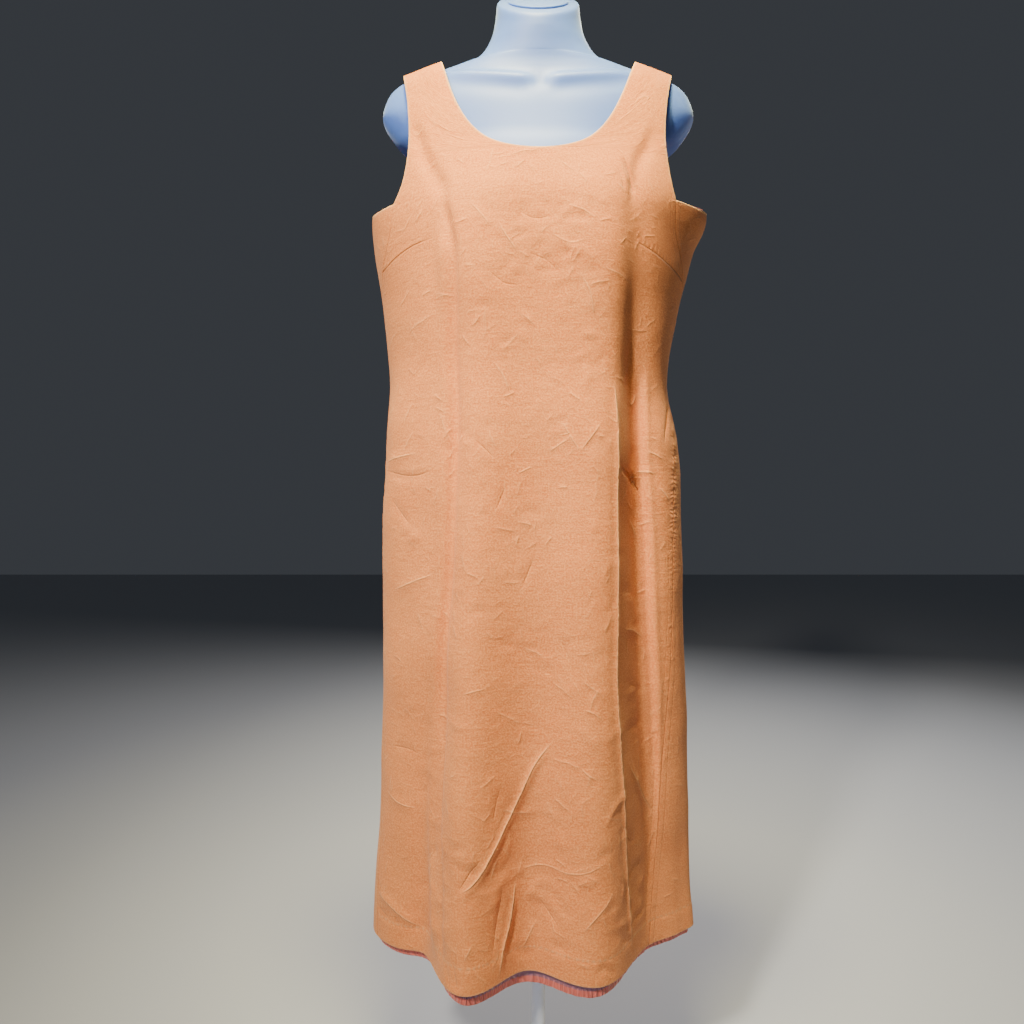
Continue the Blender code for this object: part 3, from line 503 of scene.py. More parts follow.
def cloth_face(turn, row):
    """Points of the cloth's outer face, before its creases."""
    turn, row = np.broadcast_arrays(np.asarray(turn, float), np.asarray(row, float))
    half, centre = half_and_centre(row)
    side = column("side_line", row)
    along = -np.cos(turn)
    out = np.sin(turn)
    on_front = out >= 0.0
    reach = np.where(on_front, side - column("front", row), column("back", row) - side)
    power = column("squareness", row)
    depth = (1.0 - np.abs(along) ** power) ** (1.0 / power)
    x = centre + half * along
    y = side - np.where(on_front, 1.0, -1.0) * reach * depth
    level = column("height", row)
    normal_x = along * (reach + 1e-4)
    normal_y = -out * half
    scale = fold_rise(x, level, out) / np.hypot(normal_x, normal_y)
    x = x + normal_x * scale
    y = y + normal_y * scale
    z = level - shoulder_slope(row) * (np.abs(x) - SHOULDER_INNER)
    return np.stack([x, y, z], axis=-1)


def cloth_outward(turn, row):
    """Unit normals of the cloth's outer face."""
    step = 0.004
    turn, row = np.broadcast_arrays(np.asarray(turn, float), np.asarray(row, float))
    below = np.clip(row - step, 0.0, RIDGE_ROW)
    above = np.clip(row + step, 0.0, RIDGE_ROW)
    along = cloth_face(turn + step, row) - cloth_face(turn - step, row)
    upward = cloth_face(turn, above) - cloth_face(turn, below)
    return unit(np.cross(along, upward))


def unit(vectors):
    return vectors / np.maximum(np.linalg.norm(vectors, axis=-1, keepdims=True), 1e-12)


def row_at_height(height):
    rows = np.linspace(0.0, RIDGE_ROW, 4000)
    return np.interp(height, column("height", rows), rows)


def rows_seen(x, height, lowest, count):
    """The rows, from the lowest one up, of the points that are seen at X and height."""
    rows = np.linspace(lowest, RIDGE_ROW, count)
    slope = shoulder_slope(rows)
    levels = column("height", rows)
    return np.array([
        np.interp(z, levels - slope * (abs(at) - SHOULDER_INNER), rows) for at, z in zip(x, height)
    ])


def turn_and_row(x, height, on_front):
    """The turn and row of the point of one face that is seen at X and height from the front."""
    row = rows_seen(x, height, SLOPE_START_ROW - 4.0, 1500)
    half, centre = half_and_centre(row)
    turn = np.arccos(np.clip((centre - x) / half, -1.0, 1.0))
    return (turn if on_front else 2.0 * math.pi - turn), row


def points_seen_at(x, height, on_front):
    """Points of one face, and its normals there, that are seen at X and height from the front."""
    row = rows_seen(x, height, 0.0, 1200)
    turns = np.linspace(SIDE_MARGIN, math.pi - SIDE_MARGIN, 180)
    ring = turns if on_front else 2.0 * math.pi - turns
    seen = cloth_face(ring[None, :], row[:, None])[:, :, 0]
    turn = np.array([np.interp(at, line, ring) for at, line in zip(x, seen)])
    return cloth_face(turn, row), cloth_outward(turn, row)


def run_along(points):
    """The distance from the first point to each, along the line through them."""
    steps = np.linalg.norm(np.diff(points, axis=0), axis=-1)
    return np.concatenate([[0.0], np.cumsum(steps)])


def resampled(at, run, line):
    """A line's vectors at distances along it, from the distances of its own points."""
    return np.stack([np.interp(at, run, line[:, axis]) for axis in range(3)], axis=-1)


def tree_of(points):
    """A search tree of points."""
    tree = kdtree.KDTree(len(points))
    for index, point in enumerate(points):
        tree.insert(point, index)
    tree.balance()
    return tree


def near_box(flat, line, limit):
    """Indices of the points inside a box round a line, with a limit to spare."""
    low, high = line.min(axis=0) - limit, line.max(axis=0) + limit
    return np.nonzero(((flat > low) & (flat < high)).all(axis=1))[0]


def seam_turn(side, row, forward_shift):
    """The turn of a side seam at a row. A positive shift moves it along the cloth to the front."""
    steps = np.linspace(-1.2, 1.2, RING_SAMPLES)
    turns = math.pi - steps if side == "right" else steps
    run = run_along(cloth_face(turns, row))
    start = np.interp(0.0, steps, run)
    seam = float(column(side + "_seam", row))
    return float(np.interp(start + seam + forward_shift, run, turns))


# ---- Edges of the panels, as paths of (turn, row) ----
def bezier(start, first, second, end, count=400):
    share = np.linspace(0.0, 1.0, count)[:, None]
    rest = 1.0 - share
    start, first, second, end = (np.asarray(p, float) for p in (start, first, second, end))
    return (
        start * rest ** 3
        + first * 3.0 * share * rest ** 2
        + second * 3.0 * share ** 2 * rest
        + end * share ** 3
    )


def chest_lean(height):
    """How far the chest leans to one side at a height, nothing at the underarm and the shoulder."""
    low = SECTIONS[UNDERARM_ROW].height
    share = np.clip((height - low) / (SECTIONS[RIDGE_ROW].height - low), 0.0, 1.0)
    return CHEST_LEAN * np.sin(math.pi * share)


def ridge_height(x):
    return SECTIONS[RIDGE_ROW].height - SHOULDER_SLOPE * (abs(x) - SHOULDER_INNER)


def neck_edge(side, on_front):
    """Half of the neckline, from its low middle to the shoulder."""
    sign = 1.0 if side == "right" else -1.0
    low, handle, high = FRONT_NECK if on_front else BACK_NECK
    curve = bezier((0.0, low), (handle, low), high, (SHOULDER_INNER, ridge_height(SHOULDER_INNER)))
    return turn_and_row(sign * curve[:, 0] + chest_lean(curve[:, 1]), curve[:, 1], on_front)


def armhole_edge(side, on_front):
    """An armhole from the top of the side seam to the shoulder."""
    sign = 1.0 if side == "right" else -1.0
    start = seam_turn(side, UNDERARM_ROW, SEAM_HALF_GAP if on_front else -SEAM_HALF_GAP)
    if on_front:
        underarm = cloth_face(start, UNDERARM_ROW)
        end = (SHOULDER_OUTER, ridge_height(SHOULDER_OUTER))
        curve = bezier((abs(underarm[0]), underarm[2]), *FRONT_ARMHOLE_HANDLES, end)
        turns, rows = turn_and_row(sign * curve[:, 0] + chest_lean(curve[:, 1]), curve[:, 1], True)
    else:
        side_turn = math.pi if side == "right" else 2.0 * math.pi
        start = start if side == "right" else start + 2.0 * math.pi
        curve = bezier(
            ((start - side_turn) * sign, SECTIONS[UNDERARM_ROW].height), *BACK_ARMHOLE_HANDLES,
            (BACK_SHOULDER_TURN, ridge_height(SHOULDER_OUTER)),
        )
        turns = side_turn + sign * curve[:, 0]
        x = cloth_face(turns, row_at_height(curve[:, 1]))[:, 0]
        rows = turn_and_row(x, curve[:, 1], False)[1]
    turns[0] = start
    rows[0] = UNDERARM_ROW
    return turns, np.maximum.accumulate(rows)


# ---- A panel's net ----
def laid(length, steps, at_start, at_end):
    """Places along a length, close together at a start or an end that is sewn."""
    start = CLOSE_STEPS if at_start else (0.0,)
    end = CLOSE_STEPS if at_end else (0.0,)
    between = np.linspace(start[-1], length - end[-1], steps + 3 - len(start) - len(end))
    return np.concatenate([start, between[1:-1], length - np.array(end)[::-1]])


def rows_up_edge(edge, low, high, spacing, at_end):
    """Rows between two rows of an edge at even distances, in which a climb counts for more."""
    turns, rows = edge
    run = run_along(cloth_face(turns, rows) * (LEVEL_WEIGHT, LEVEL_WEIGHT, 1.0))
    first, last = np.interp((low, high), rows, run)
    steps = max(4, round((last - first) / spacing)) + (len(CLOSE_STEPS) - 4 if at_end else 0)
    return np.interp(first + laid(last - first, steps, False, at_end), run, rows)[1:]


class Net:
    """The turns and rows of one panel's grid, level by level up from the hem.

    A level runs from the first side to the middle and from the middle to the last side. Above the
    low middle of the neckline its two halves end at the neck's edges.
    """

    def __init__(self, on_front, half_columns, spacing):
        self.on_front = on_front
        self.sides = ("left", "right") if on_front else ("right", "left")
        self.half_columns = half_columns
        self.armholes = {side: armhole_edge(side, on_front) for side in ("left", "right")}
        self.necks = {side: neck_edge(side, on_front) for side in ("left", "right")}
        self.lay_rows(spacing)
        self.lay_turns()

    def lay_rows(self, spacing):
        hem, fan = HEM_HEIGHT, FAN_HEIGHT
        waist, bust, under = (SECTIONS[row].height for row in (WAIST_ROW, BUST_ROW, UNDERARM_ROW))
        neck_low = float(self.necks["left"][1][0])
        tight = spacing * BODY_SPACING
        skirt = hem + laid(waist - hem, round((waist - hem) / spacing) + MORE_SKIRT_ROWS, True, False)
        body = np.linspace(waist, fan, round((fan - waist) / tight) + 1)
        chest = np.linspace(fan, bust, round((bust - fan) / tight) + 1)
        underarm = np.linspace(BUST_ROW, UNDERARM_ROW, round((under - bust) / tight) + 1)
        side_rows = np.concatenate([
            row_at_height(np.concatenate([skirt, body[1:], chest[1:]])),
            underarm[1:],
            rows_up_edge(self.armholes["right"], UNDERARM_ROW, neck_low, tight, False),
        ])
        self.low_level = len(side_rows) - 1
        top = RIDGE_ROW - SHOULDER_SEAM_ROW_GAP
        above = rows_up_edge(self.necks["right"], neck_low, top, spacing * YOKE_SPACING, True)
        side_rows = np.concatenate([side_rows, above])
        fan_level = len(skirt) + len(body) - 2
        low_height = float(column("height", neck_low))
        steps = self.low_level - fan_level
        middle_rows = side_rows.copy()
        middle_rows[fan_level:self.low_level + 1] = row_at_height(
            fan + laid(low_height - fan, steps, False, True)
        )
        nearness = (1.0 - np.linspace(0.0, 1.0, self.half_columns + 1)) ** 2
        nearness = np.concatenate([nearness, nearness[::-1]])
        self.side_rows = side_rows
        self.rows = middle_rows[:, None] + (side_rows - middle_rows)[:, None] * nearness

    def lay_turns(self):
        low_height = float(column("height", self.side_rows[self.low_level]))
        turns = []
        for row in self.side_rows:
            closeness = float(ease((column("height", row) - low_height + 0.060) / 0.050))
            halves = []
            for side in self.sides:
                edge = self.outer_turn(side, row)
                inner = float(np.interp(row, self.necks[side][1], self.necks[side][0]))
                ring = np.linspace(edge, inner, RING_SAMPLES)
                run = run_along(cloth_face(ring, row))
                even = laid(run[-1], self.half_columns, True, False)
                close = laid(run[-1], self.half_columns, True, True)
                halves.append(np.interp(even + (close - even) * closeness, run, ring))
            turns.append(np.concatenate([halves[0], halves[1][::-1]]))
        self.turns = np.array(turns)

    def outer_turn(self, side, row):
        """The turn of the panel's outer edge: its side seam, then its armhole."""
        if row > UNDERARM_ROW:
            return float(np.interp(row, self.armholes[side][1], self.armholes[side][0]))
        turn = seam_turn(side, row, SEAM_HALF_GAP if self.on_front else -SEAM_HALF_GAP)
        return turn if self.on_front or side == "right" else turn + 2.0 * math.pi

    def seam_lines(self):
        """The side seams, the sewn edges and the hem, as lists of points."""
        half = self.half_columns
        face = self.face
        under = int(np.searchsorted(self.side_rows, UNDERARM_ROW - 1e-6))
        return {
            "seam": [face[:under + 1, 0], face[:under + 1, -1]],
            "armhole": [face[under:, 0], face[under:, -1]],
            "neck": [face[self.low_level:, half], face[self.low_level:, half + 1]],
            "shoulder": [face[-1, :half + 1], face[-1, half + 1:]],
            "hem": [face[0]],
        }

    def measure(self):
        """Fills in the face's points and normals, and how far each lies from every kind of edge."""
        self.face = cloth_face(self.turns, self.rows)
        self.outward = cloth_outward(self.turns, self.rows)
        self.away = {
            kind: distance_to(self.face, lines, EDGE_REACH) for kind, lines in self.seam_lines().items()
        }
        width = np.linalg.norm(np.diff(self.face, axis=1), axis=-1)
        width[:, self.half_columns] = 0.0
        run = np.concatenate([np.zeros((len(width), 1)), np.cumsum(width, axis=1)], axis=1)
        self.across = run - run[:, self.half_columns:self.half_columns + 1]
        climbs = np.linalg.norm(np.diff(self.face, axis=0), axis=-1)
        self.up = np.concatenate([np.zeros((1, climbs.shape[1])), np.cumsum(climbs, axis=0)], axis=0)
        self.area = float((climbs[:, :-1] * (width[:-1] + width[1:]) / 2.0).sum())
        self.cut = (float(width.sum(axis=1).max()), float(self.up.max()))
        return self

    def distance(self, *kinds):
        """How far each point lies from the nearest edge of some kinds."""
        return np.minimum.reduce([self.away[kind] for kind in kinds])


def distance_to(points, lines, limit):
    """The distance from each point to the nearest of some lines of points, up to a limit."""
    flat = points.reshape(-1, 3)
    near = np.full(len(flat), limit)
    samples = []
    for line in lines:
        run = run_along(line)
        samples.append(resampled(np.linspace(0.0, run[-1], max(2, round(run[-1] / 0.0006))), run, line))
    samples = np.concatenate(samples)
    tree = tree_of(samples)
    for index in near_box(flat, samples, limit):
        near[index] = min(limit, tree.find(flat[index])[2])
    return near.reshape(points.shape[:-1])


# ---- Relief of the cloth ----
class Path:
    """A line on the cloth, with the nearest place on it and the signed distance from it."""

    def __init__(self, points, on_front, bend=6):
        points = np.array(points, float)
        knots = np.arange(len(points))
        at = np.linspace(0.0, len(points) - 1.0, (len(points) - 1) * bend + 1)
        read = smooth_curve if len(points) > 2 else np.interp
        line, outward = points_seen_at(read(at, knots, points[:, 0]), read(at, knots, points[:, 1]), on_front)
        run = run_along(line)
        self.length = run[-1]
        self.run = np.linspace(0.0, self.length, max(3, round(self.length / 0.002)))
        self.line = resampled(self.run, run, line)
        self.tangent = unit(np.gradient(self.line, axis=0))
        self.sideways = unit(np.cross(unit(resampled(self.run, run, outward)), self.tangent))
        self.tree = tree_of(self.line)

    def near(self, flat, limit):
        """Indices of the points near the line, their signed distance and their run along it."""
        inside = near_box(flat, self.line, limit)
        if not len(inside):
            return inside, np.zeros(0), np.zeros(0)
        nearest = np.array([self.tree.find(flat[index])[1] for index in inside])
        apart = flat[inside] - self.line[nearest]
        run = self.run[nearest] + (apart * self.tangent[nearest]).sum(axis=-1)
        beside = (apart * self.sideways[nearest]).sum(axis=-1)
        beyond = (run < 0.0) | (run > self.length)
        beside = np.where(beyond, np.copysign(np.linalg.norm(apart, axis=-1), beside), beside)
        return inside, beside, run


def crease_relief(flat, crease, path):
    """How far one crease moves each point out of the plain face."""
    relief = np.zeros(len(flat))
    inside, beside, run = path.near(flat, crease.width * CREASE_REACH)
    if len(inside):
        taper = min(path.length * TAPER_SHARE, LONGEST_TAPER)
        fade = ease(run / taper) * ease((path.length - run) / taper)
        q = beside / crease.width
        shape = crease.rise * np.exp(-q ** 2) + crease.lean * LEAN_SCALE * q * np.exp(-q ** 2)
        relief[inside] = shape * fade
    return relief


def scattered(crumples, seed):
    """Short creases, placed at random inside one area of the cloth."""
    chance = np.random.default_rng(seed)
    made = []
    for _ in range(crumples.count):
        x = chance.uniform(crumples.left, crumples.right) * CRUMPLE_REACH
        z = chance.uniform(crumples.low, crumples.high)
        length = crumples.longest * chance.uniform(0.35, 1.0)
        angle = chance.normal(0.0, 0.55) + (math.pi / 2.0 if chance.random() < 0.28 else 0.0)
        bend = chance.uniform(-0.35, 0.35) * length
        across = np.array([math.cos(angle), math.sin(angle)]) * length / 2.0
        middle = np.array([x, z]) + np.array([-across[1], across[0]]) / length * bend
        points = ((x - across[0], z - across[1]), tuple(middle), (x + across[0], z + across[1]))
        rise = crumples.deepest * chance.uniform(0.4, 1.0) * chance.choice([-1.0, 1.0])
        width = chance.uniform(0.0032, 0.0055)
        made.append(Crease("crumple", rise, width, rise * chance.uniform(-0.6, 0.6), points))
    return made


@lru_cache(maxsize=None)
def creases_of(on_front):
    """Every crease of one face with its path, listed or scattered."""
    creases = list(FRONT_CREASES if on_front else BACK_CREASES)
    for index, area in enumerate(FRONT_CRUMPLES if on_front else BACK_CRUMPLES):
        creases.extend(scattered(area, 7 + index if on_front else 57 + index))
    return [(crease, Path(crease.points, on_front)) for crease in creases]


def slow_waver(points):
    """A slow unevenness of the whole cloth, the same on both sides of a seam."""
    chance = np.random.default_rng(41)
    total = np.zeros(points.shape[:-1])
    for _ in range(WAVES):
        wave = 2.0 * math.pi / chance.uniform(*WAVE_LENGTHS)
        direction = chance.normal(size=3) * (1.0, 1.0, 0.55)
        direction = direction / np.linalg.norm(direction)
        total += np.sin(points @ direction * wave + chance.uniform(0.0, 6.28)) / wave
    return total * WAVE_SLOPE


def seam_puckers(height, away, side_right):
    """Ripples across a side seam, strongest at the seam and between hip and waist."""
    pitch = 0.0125 + 0.0035 * np.sin(height * 31.0) + 0.002 * np.sin(height * 77.0)
    turns = 2.0 * math.pi * height
    ripple = np.sin(turns / pitch) * 0.6 + np.sin(turns / 0.0231 + 1.3) * 0.4
    strength = 0.00022 + 0.00055 * np.exp(-((height - 0.885) / 0.085) ** 2)
    strength = np.where(side_right, strength, strength * 0.7)
    return strength * ripple * np.exp(-(away / 0.0085) ** 1.5)


def cloth_relief(net, look):
    """How far each point of a net moves out of the plain face."""
    flat = net.face.reshape(-1, 3)
    relief = np.zeros(len(flat))
    for crease, path in creases_of(net.on_front):
        relief += crease_relief(flat, crease, path)
    relief = relief.reshape(net.turns.shape) * look.crease_strength
    held = ease(net.away["seam"] / SEAM_HOLD)
    firm = EDGE_SHARE + (1.0 - EDGE_SHARE) * ease(net.distance("armhole", "neck") / EDGE_HOLD)
    relief = np.clip(relief, DEEPEST_CREASE, HIGHEST_CREASE)
    relief = relief * held * firm * ease(net.away["shoulder"] / SHOULDER_HOLD)
    relief += slow_waver(net.face) * look.crease_strength
    relief += seam_puckers(net.face[..., 2], net.away["seam"], net.face[..., 0] > 0.0)
    return relief


def line_map(net):
    """The sharp lines of a panel as (rise, signed distance, puckers) at each point."""
    flat = net.face.reshape(-1, 3)
    mapped = np.zeros((len(flat), 3))
    mapped[:, 1] = FAR_FROM_LINES
    drawn, placed = (FRONT_LINES, FRONT_CREASES) if net.on_front else ((), BACK_CREASES)
    lines = [(line.rise, line.puckers, Path(line.points, net.on_front)) for line in drawn]
    for crease, path in creases_of(net.on_front)[:len(placed)]:
        if crease.width <= FINE_WIDTH:
            lines.append((crease.rise * FINE_SHARE, 0.0, path))
    for rise, puckers, path in lines:
        inside, beside, run = path.near(flat, LINE_REACH)
        taper = min(0.030, path.length * 0.3)
        fade = ease(run / (0.006 if puckers else taper)) * ease((path.length - run) / taper)
        fade = fade * ease((LINE_REACH - np.abs(beside)) / 0.006)
        taken = np.abs(beside) < np.abs(mapped[inside, 1])
        chosen = inside[taken]
        mapped[chosen, 0] = (rise * fade)[taken]
        mapped[chosen, 1] = beside[taken]
        mapped[chosen, 2] = (puckers * fade)[taken]
    return mapped.reshape(net.turns.shape + (3,))


# ---- Panels as meshes ----
PANELS = {}


def lining_gap(row):
    """The space between dress and lining at a row."""
    height = column("height", row)
    low = ease((SECTIONS[BUST_ROW].height - height) / (SECTIONS[BUST_ROW].height - HEM_HEIGHT))
    high = ease((row - UNDERARM_ROW) / (SLOPE_START_ROW + 1 - UNDERARM_ROW))
    return LINING_GAP + LINING_GAP_AT_HEM * low - LINING_GAP_AT_SHOULDER * high


def lining_drop(x, on_front):
    """How far the lining hangs below the dress's hem."""
    centre = np.exp(-(x / LINING_DROP_SPREAD) ** 2) * (1.0 if on_front else 0.0)
    return LINING_DROP + LINING_DROP_AT_MIDDLE * centre


def rounded(away, roll):
    """The share of a wall's thickness at a distance from a sewn edge."""
    share = np.clip(away / roll, 0.0, 1.0)
    return np.maximum(THIN_EDGE, np.sqrt(np.maximum(0.0, 1.0 - (1.0 - share) ** 2)))


def grid(places, levels):
    """A bmesh of a grid, and the layer with its vertices' numbers, counted up level by level."""
    shape = bmesh.new()
    bmesh.ops.create_grid(shape, x_segments=places - 1, y_segments=levels - 1, size=0.5)
    number = shape.verts.layers.int.new("number")
    for vertex in shape.verts:
        across = round((vertex.co.x + 0.5) * (places - 1))
        up = round((vertex.co.y + 0.5) * (levels - 1))
        vertex[number] = up * places + across
    return shape, number


def mesh_from(shape, name, sharp=None):
    """The smooth mesh of a bmesh, with edges sharp above an angle in degrees if one is given."""
    mesh = bpy.data.meshes.new(name)
    bmesh.ops.recalc_face_normals(shape, faces=shape.faces)
    shape.to_mesh(mesh)
    shape.free()
    mesh.shade_smooth()
    if sharp is not None:
        mesh.set_sharp_from_angle(angle=math.radians(sharp))
    return mesh


def wall_mesh(name, outer, inner, low_level):
    """A closed wall between two grids of points, whose halves part above a level.

    Each vertex keeps its number in the grid, and whether it is on the outer face.
    """
    levels, places = outer.shape[:2]
    half = places // 2
    shape, number = grid(places, levels)
    face_side = shape.verts.layers.int.new("outer")
    middle = [
        face for face in shape.faces
        if {half - 1, half} <= {vertex[number] % places for vertex in face.verts}
    ]
    bmesh.ops.delete(shape, geom=middle, context="FACES")
    pairs = {vertex[number]: vertex for vertex in shape.verts}
    joined = {
        pairs[level * places + half]: pairs[level * places + half - 1] for level in range(low_level + 1)
    }
    bmesh.ops.weld_verts(shape, targetmap=joined)
    made = bmesh.ops.extrude_face_region(shape, geom=shape.faces[:])["geom"]
    for item in made:
        if isinstance(item, bmesh.types.BMVert):
            item[face_side] = 1
    faces = {1: outer.reshape(-1, 3), 0: inner.reshape(-1, 3)}
    for vertex in shape.verts:
        vertex.co = faces[vertex[face_side]][vertex[number]]
    return mesh_from(shape, name)


def numbers_of(mesh):
    """Each vertex's number in its grid."""
    numbers = np.zeros(len(mesh.vertices), dtype=np.int32)
    mesh.attributes["number"].data.foreach_get("value", numbers)
    return numbers


def write_vectors(mesh, name, vectors):
    """Stores a grid of vectors on a mesh under a name that a material reads."""
    attribute = mesh.attributes.new(name, "FLOAT_VECTOR", "POINT")
    values = vectors.reshape(-1, 3)[numbers_of(mesh)]
    attribute.data.foreach_set("vector", values.astype(np.float32).ravel())


def write_flat_pattern(mesh, across, up):
    """The UV map of the cloth as cut, in metres."""
    layer = mesh.uv_layers.new(name="cloth")
    corners = np.zeros(len(mesh.loops), dtype=np.int32)
    mesh.loops.foreach_get("vertex_index", corners)
    numbers = numbers_of(mesh)[corners]
    flat = np.stack([across.ravel()[numbers], up.ravel()[numbers]], axis=-1)
    layer.data.foreach_set("uv", flat.astype(np.float32).ravel())


def place(mesh, name, material, slot_name, *replaced):
    """An object for a finished mesh, riding the body and standing for CAD nodes."""
    mesh.materials.append(material)
    obj = bpy.data.objects.new(name, mesh)
    bpy.context.scene.collection.objects.link(obj)
    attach(obj, BODY)
    if replaced:
        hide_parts(*replaced)
    return obj


def place_panel(node, net, outer, inner, edge, material, slot_name):
    """Places one panel, from the points of its two faces, and keeps it for its stitches."""
    name = node + "_cloth"
    mesh = wall_mesh(name, outer, inner, net.low_level)
    write_vectors(mesh, "sewn", np.stack([net.away["seam"], edge, net.up], axis=-1))
    if slot_name == "apricot_cloth":
        write_vectors(mesh, "line_map", line_map(net))
    write_flat_pattern(mesh, net.across, net.up)
    obj = place(mesh, name, material, slot_name, node)
    PANELS[node] = obj, net, outer


def make_panel(node, on_front, half_columns, spacing, look):
    """One panel of the dress, with its creases and its sewn edges."""
    net = Net(on_front, half_columns, spacing).measure()
    half_wall = look.wall / 2.0 * rounded(net.distance(*EDGES), look.edge_roll)
    hem_layer = HEM_LAYER * (1.0 - ease((net.up - look.hem_depth + 0.002) / 0.004))
    hem_layer = hem_layer * ease(net.away["seam"] / 0.006)
    middle = cloth_relief(net, look) + hem_layer - look.wall / 2.0
    outer = net.face + net.outward * (middle + half_wall)[..., None]
    inner = net.face + net.outward * (middle - half_wall)[..., None]
    material = material_of("Apricot Cloth", fill_cloth, look)
    place_panel(node, net, outer, inner, net.distance("armhole", "neck"), material, "apricot_cloth")


def make_lining(node, on_front, half_columns, spacing, look):
    """One panel of the lining, which follows the dress's creases inside it."""
    net = Net(on_front, half_columns, spacing).measure()
    depth = look.wall + lining_gap(net.rows)
    surface = net.face + net.outward * (cloth_relief(net, look) - depth)[..., None]
    drop = lining_drop(cloth_face(net.turns[0], net.rows[0])[:, 0], on_front)
    surface[..., 2] -= drop[None, :] * np.maximum(0.0, 1.0 - net.up / LINING_DROP_REACH)
    thick = look.lining_wall / 2.0 * rounded(net.distance(*EDGES), look.edge_roll * 0.7)
    hem_fold = 1.0 - ease((net.up - look.lining_hem_depth) / 0.0015)
    ripple = np.sin(net.across * 2.0 * math.pi / LINING_PUCKER_PITCH + np.sin(net.across * 90.0) * 1.4)
    pucker = LINING_PUCKER * ripple * hem_fold * ease(net.away["seam"] / 0.006) - look.lining_wall / 2.0
    outer = surface + net.outward * (thick + pucker + 0.0003 * hem_fold)[..., None]
    inner = surface + net.outward * (pucker - thick)[..., None]
    material = material_of("Coral Lining", fill_lining, look)
    place_panel(node, net, outer, inner, net.away["armhole"], material, "coral_lining")


# ---- Form, stand and stitches as meshes ----
def form_rings(levels, places):
    """Rings of points up the form, from its foot to the cut of its neck."""
    knots = range(len(FORM_SECTIONS))
    at = np.linspace(0.0, len(FORM_SECTIONS) - 1.0, levels)
    read = {
        field: smooth_curve(at, knots, [getattr(section, field) for section in FORM_SECTIONS])[:, None]
        for field in FormSection._fields[1:]
    }
    turns = np.linspace(0.0, 2.0 * math.pi, places + 1)[None, :]
    along = -np.cos(turns)
    out = np.sin(turns)
    power = read["squareness"]
    size = (np.abs(along) ** power + np.abs(out) ** power) ** (1.0 / power)
    along = along / size
    out = out / size
    reach = np.where(out >= 0.0, FORM_SIDE_LINE - read["front"], read["back"] - FORM_SIDE_LINE)
    x = read["half_width"] * along
    y = FORM_SIDE_LINE - reach * out
    z = read["height"] + read["tilt"] * (y - FORM_SIDE_LINE)
    return np.stack([x, y, z], axis=-1)


def collarbones(rings):
    """Moulds two soft collarbones and the hollow between them into the form's front."""
    x, y, z = rings[..., 0], rings[..., 1], rings[..., 2]
    front = ease((FORM_SIDE_LINE - 0.010 - y) / 0.020)
    line = 1.3890 + 0.13 * np.abs(x)
    across = ease((np.abs(x) - 0.006) / 0.016) * ease((0.150 - np.abs(x)) / 0.060)
    bone = 0.0036 * np.exp(-((z - line) / 0.0075) ** 2) * across
    under = -0.0010 * np.exp(-((z - line + 0.017) / 0.010) ** 2) * across
    notch = -0.0032 * np.exp(-((z - 1.3880) / 0.012) ** 2 - (x / 0.010) ** 2)
    rise = (bone + under + notch) * front
    return rings + rise[..., None] * (0.0, -1.0, 0.5)


def loft_mesh(name, rings):
    """A closed skin through rings of points, with a face over each end."""
    levels, places = rings.shape[:2]
    shape, number = grid(places, levels)
    points = rings.reshape(-1, 3)
    for vertex in shape.verts:
        vertex.co = points[vertex[number]]
    shape.verts.layers.int.remove(number)
    bmesh.ops.remove_doubles(shape, verts=shape.verts, dist=1e-6)
    open_edges = [edge for edge in shape.edges if edge.is_boundary]
    bmesh.ops.holes_fill(shape, edges=open_edges, sides=0)
    return mesh_from(shape, name, 42.0)


def turned_mesh(name, profile, steps):
    """A body turned round the Z axis from a closed profile of (radius, height)."""
    shape = bmesh.new()
    vertices = [shape.verts.new((radius, 0.0, height)) for radius, height in profile]
    edges = [shape.edges.new(pair) for pair in zip(vertices, vertices[1:])]
    if profile[0][0] > 0.0:
        edges.append(shape.edges.new((vertices[-1], vertices[0])))
    bmesh.ops.spin(
        shape, geom=vertices + edges, axis=(0.0, 0.0, 1.0), cent=(0.0, 0.0, 0.0),
        angle=2.0 * math.pi, steps=steps, use_merge=True,
    )
    bmesh.ops.remove_doubles(shape, verts=shape.verts, dist=1e-6)
    return mesh_from(shape, name, 35.0)


def rounding(radius, height, size, start, end, steps=6):
    """Points of a quarter round on a profile, about its centre, between two angles in degrees."""
    angles = np.radians(np.linspace(start, end, steps + 1))
    return [(radius + size * math.cos(angle), height + size * math.sin(angle)) for angle in angles]


def stitches_mesh(name, places, normals, directions, length, thickness):
    """Small flattened stitches at places on the cloth."""
    shape = bmesh.new()
    for at, normal, direction in zip(places, normals, directions):
        normal = Vector(normal).normalized()
        direction = Vector(direction).normalized()
        sideways = normal.cross(direction).normalized()
        turn = Matrix((direction * length, sideways * thickness, normal * thickness)).transposed().to_4x4()
        turn.translation = at
        bmesh.ops.create_icosphere(shape, subdivisions=1, radius=0.5, matrix=turn)
    return mesh_from(shape, name)


def stitch_run(net, outer, up, spacing, inset):
    """Places, normals and directions at even distances round a panel, at a distance up from its hem."""
    places = [at for at in range(outer.shape[1]) if at != net.half_columns]
    line, outward = (
        np.concatenate([resampled([up], net.up[:, at], vectors[:, at]) for at in places])
        for vectors in (outer, net.outward)
    )
    run = run_along(line)
    at = np.arange(0.006, run[-1] - 0.006, spacing)
    spots = resampled(at, run, line)
    facing = unit(resampled(at, run, outward))
    return spots - facing * inset, facing, resampled(at + 0.001, run, line) - spots


# ---- Node trees ----
def arithmetic(operation, turned=False):
    """An operator of Value that adds a math node. A turned one swaps its two numbers."""
    def combined(self, other):
        return self.tree.math(operation, *((other, self) if turned else (self, other)))
    return combined


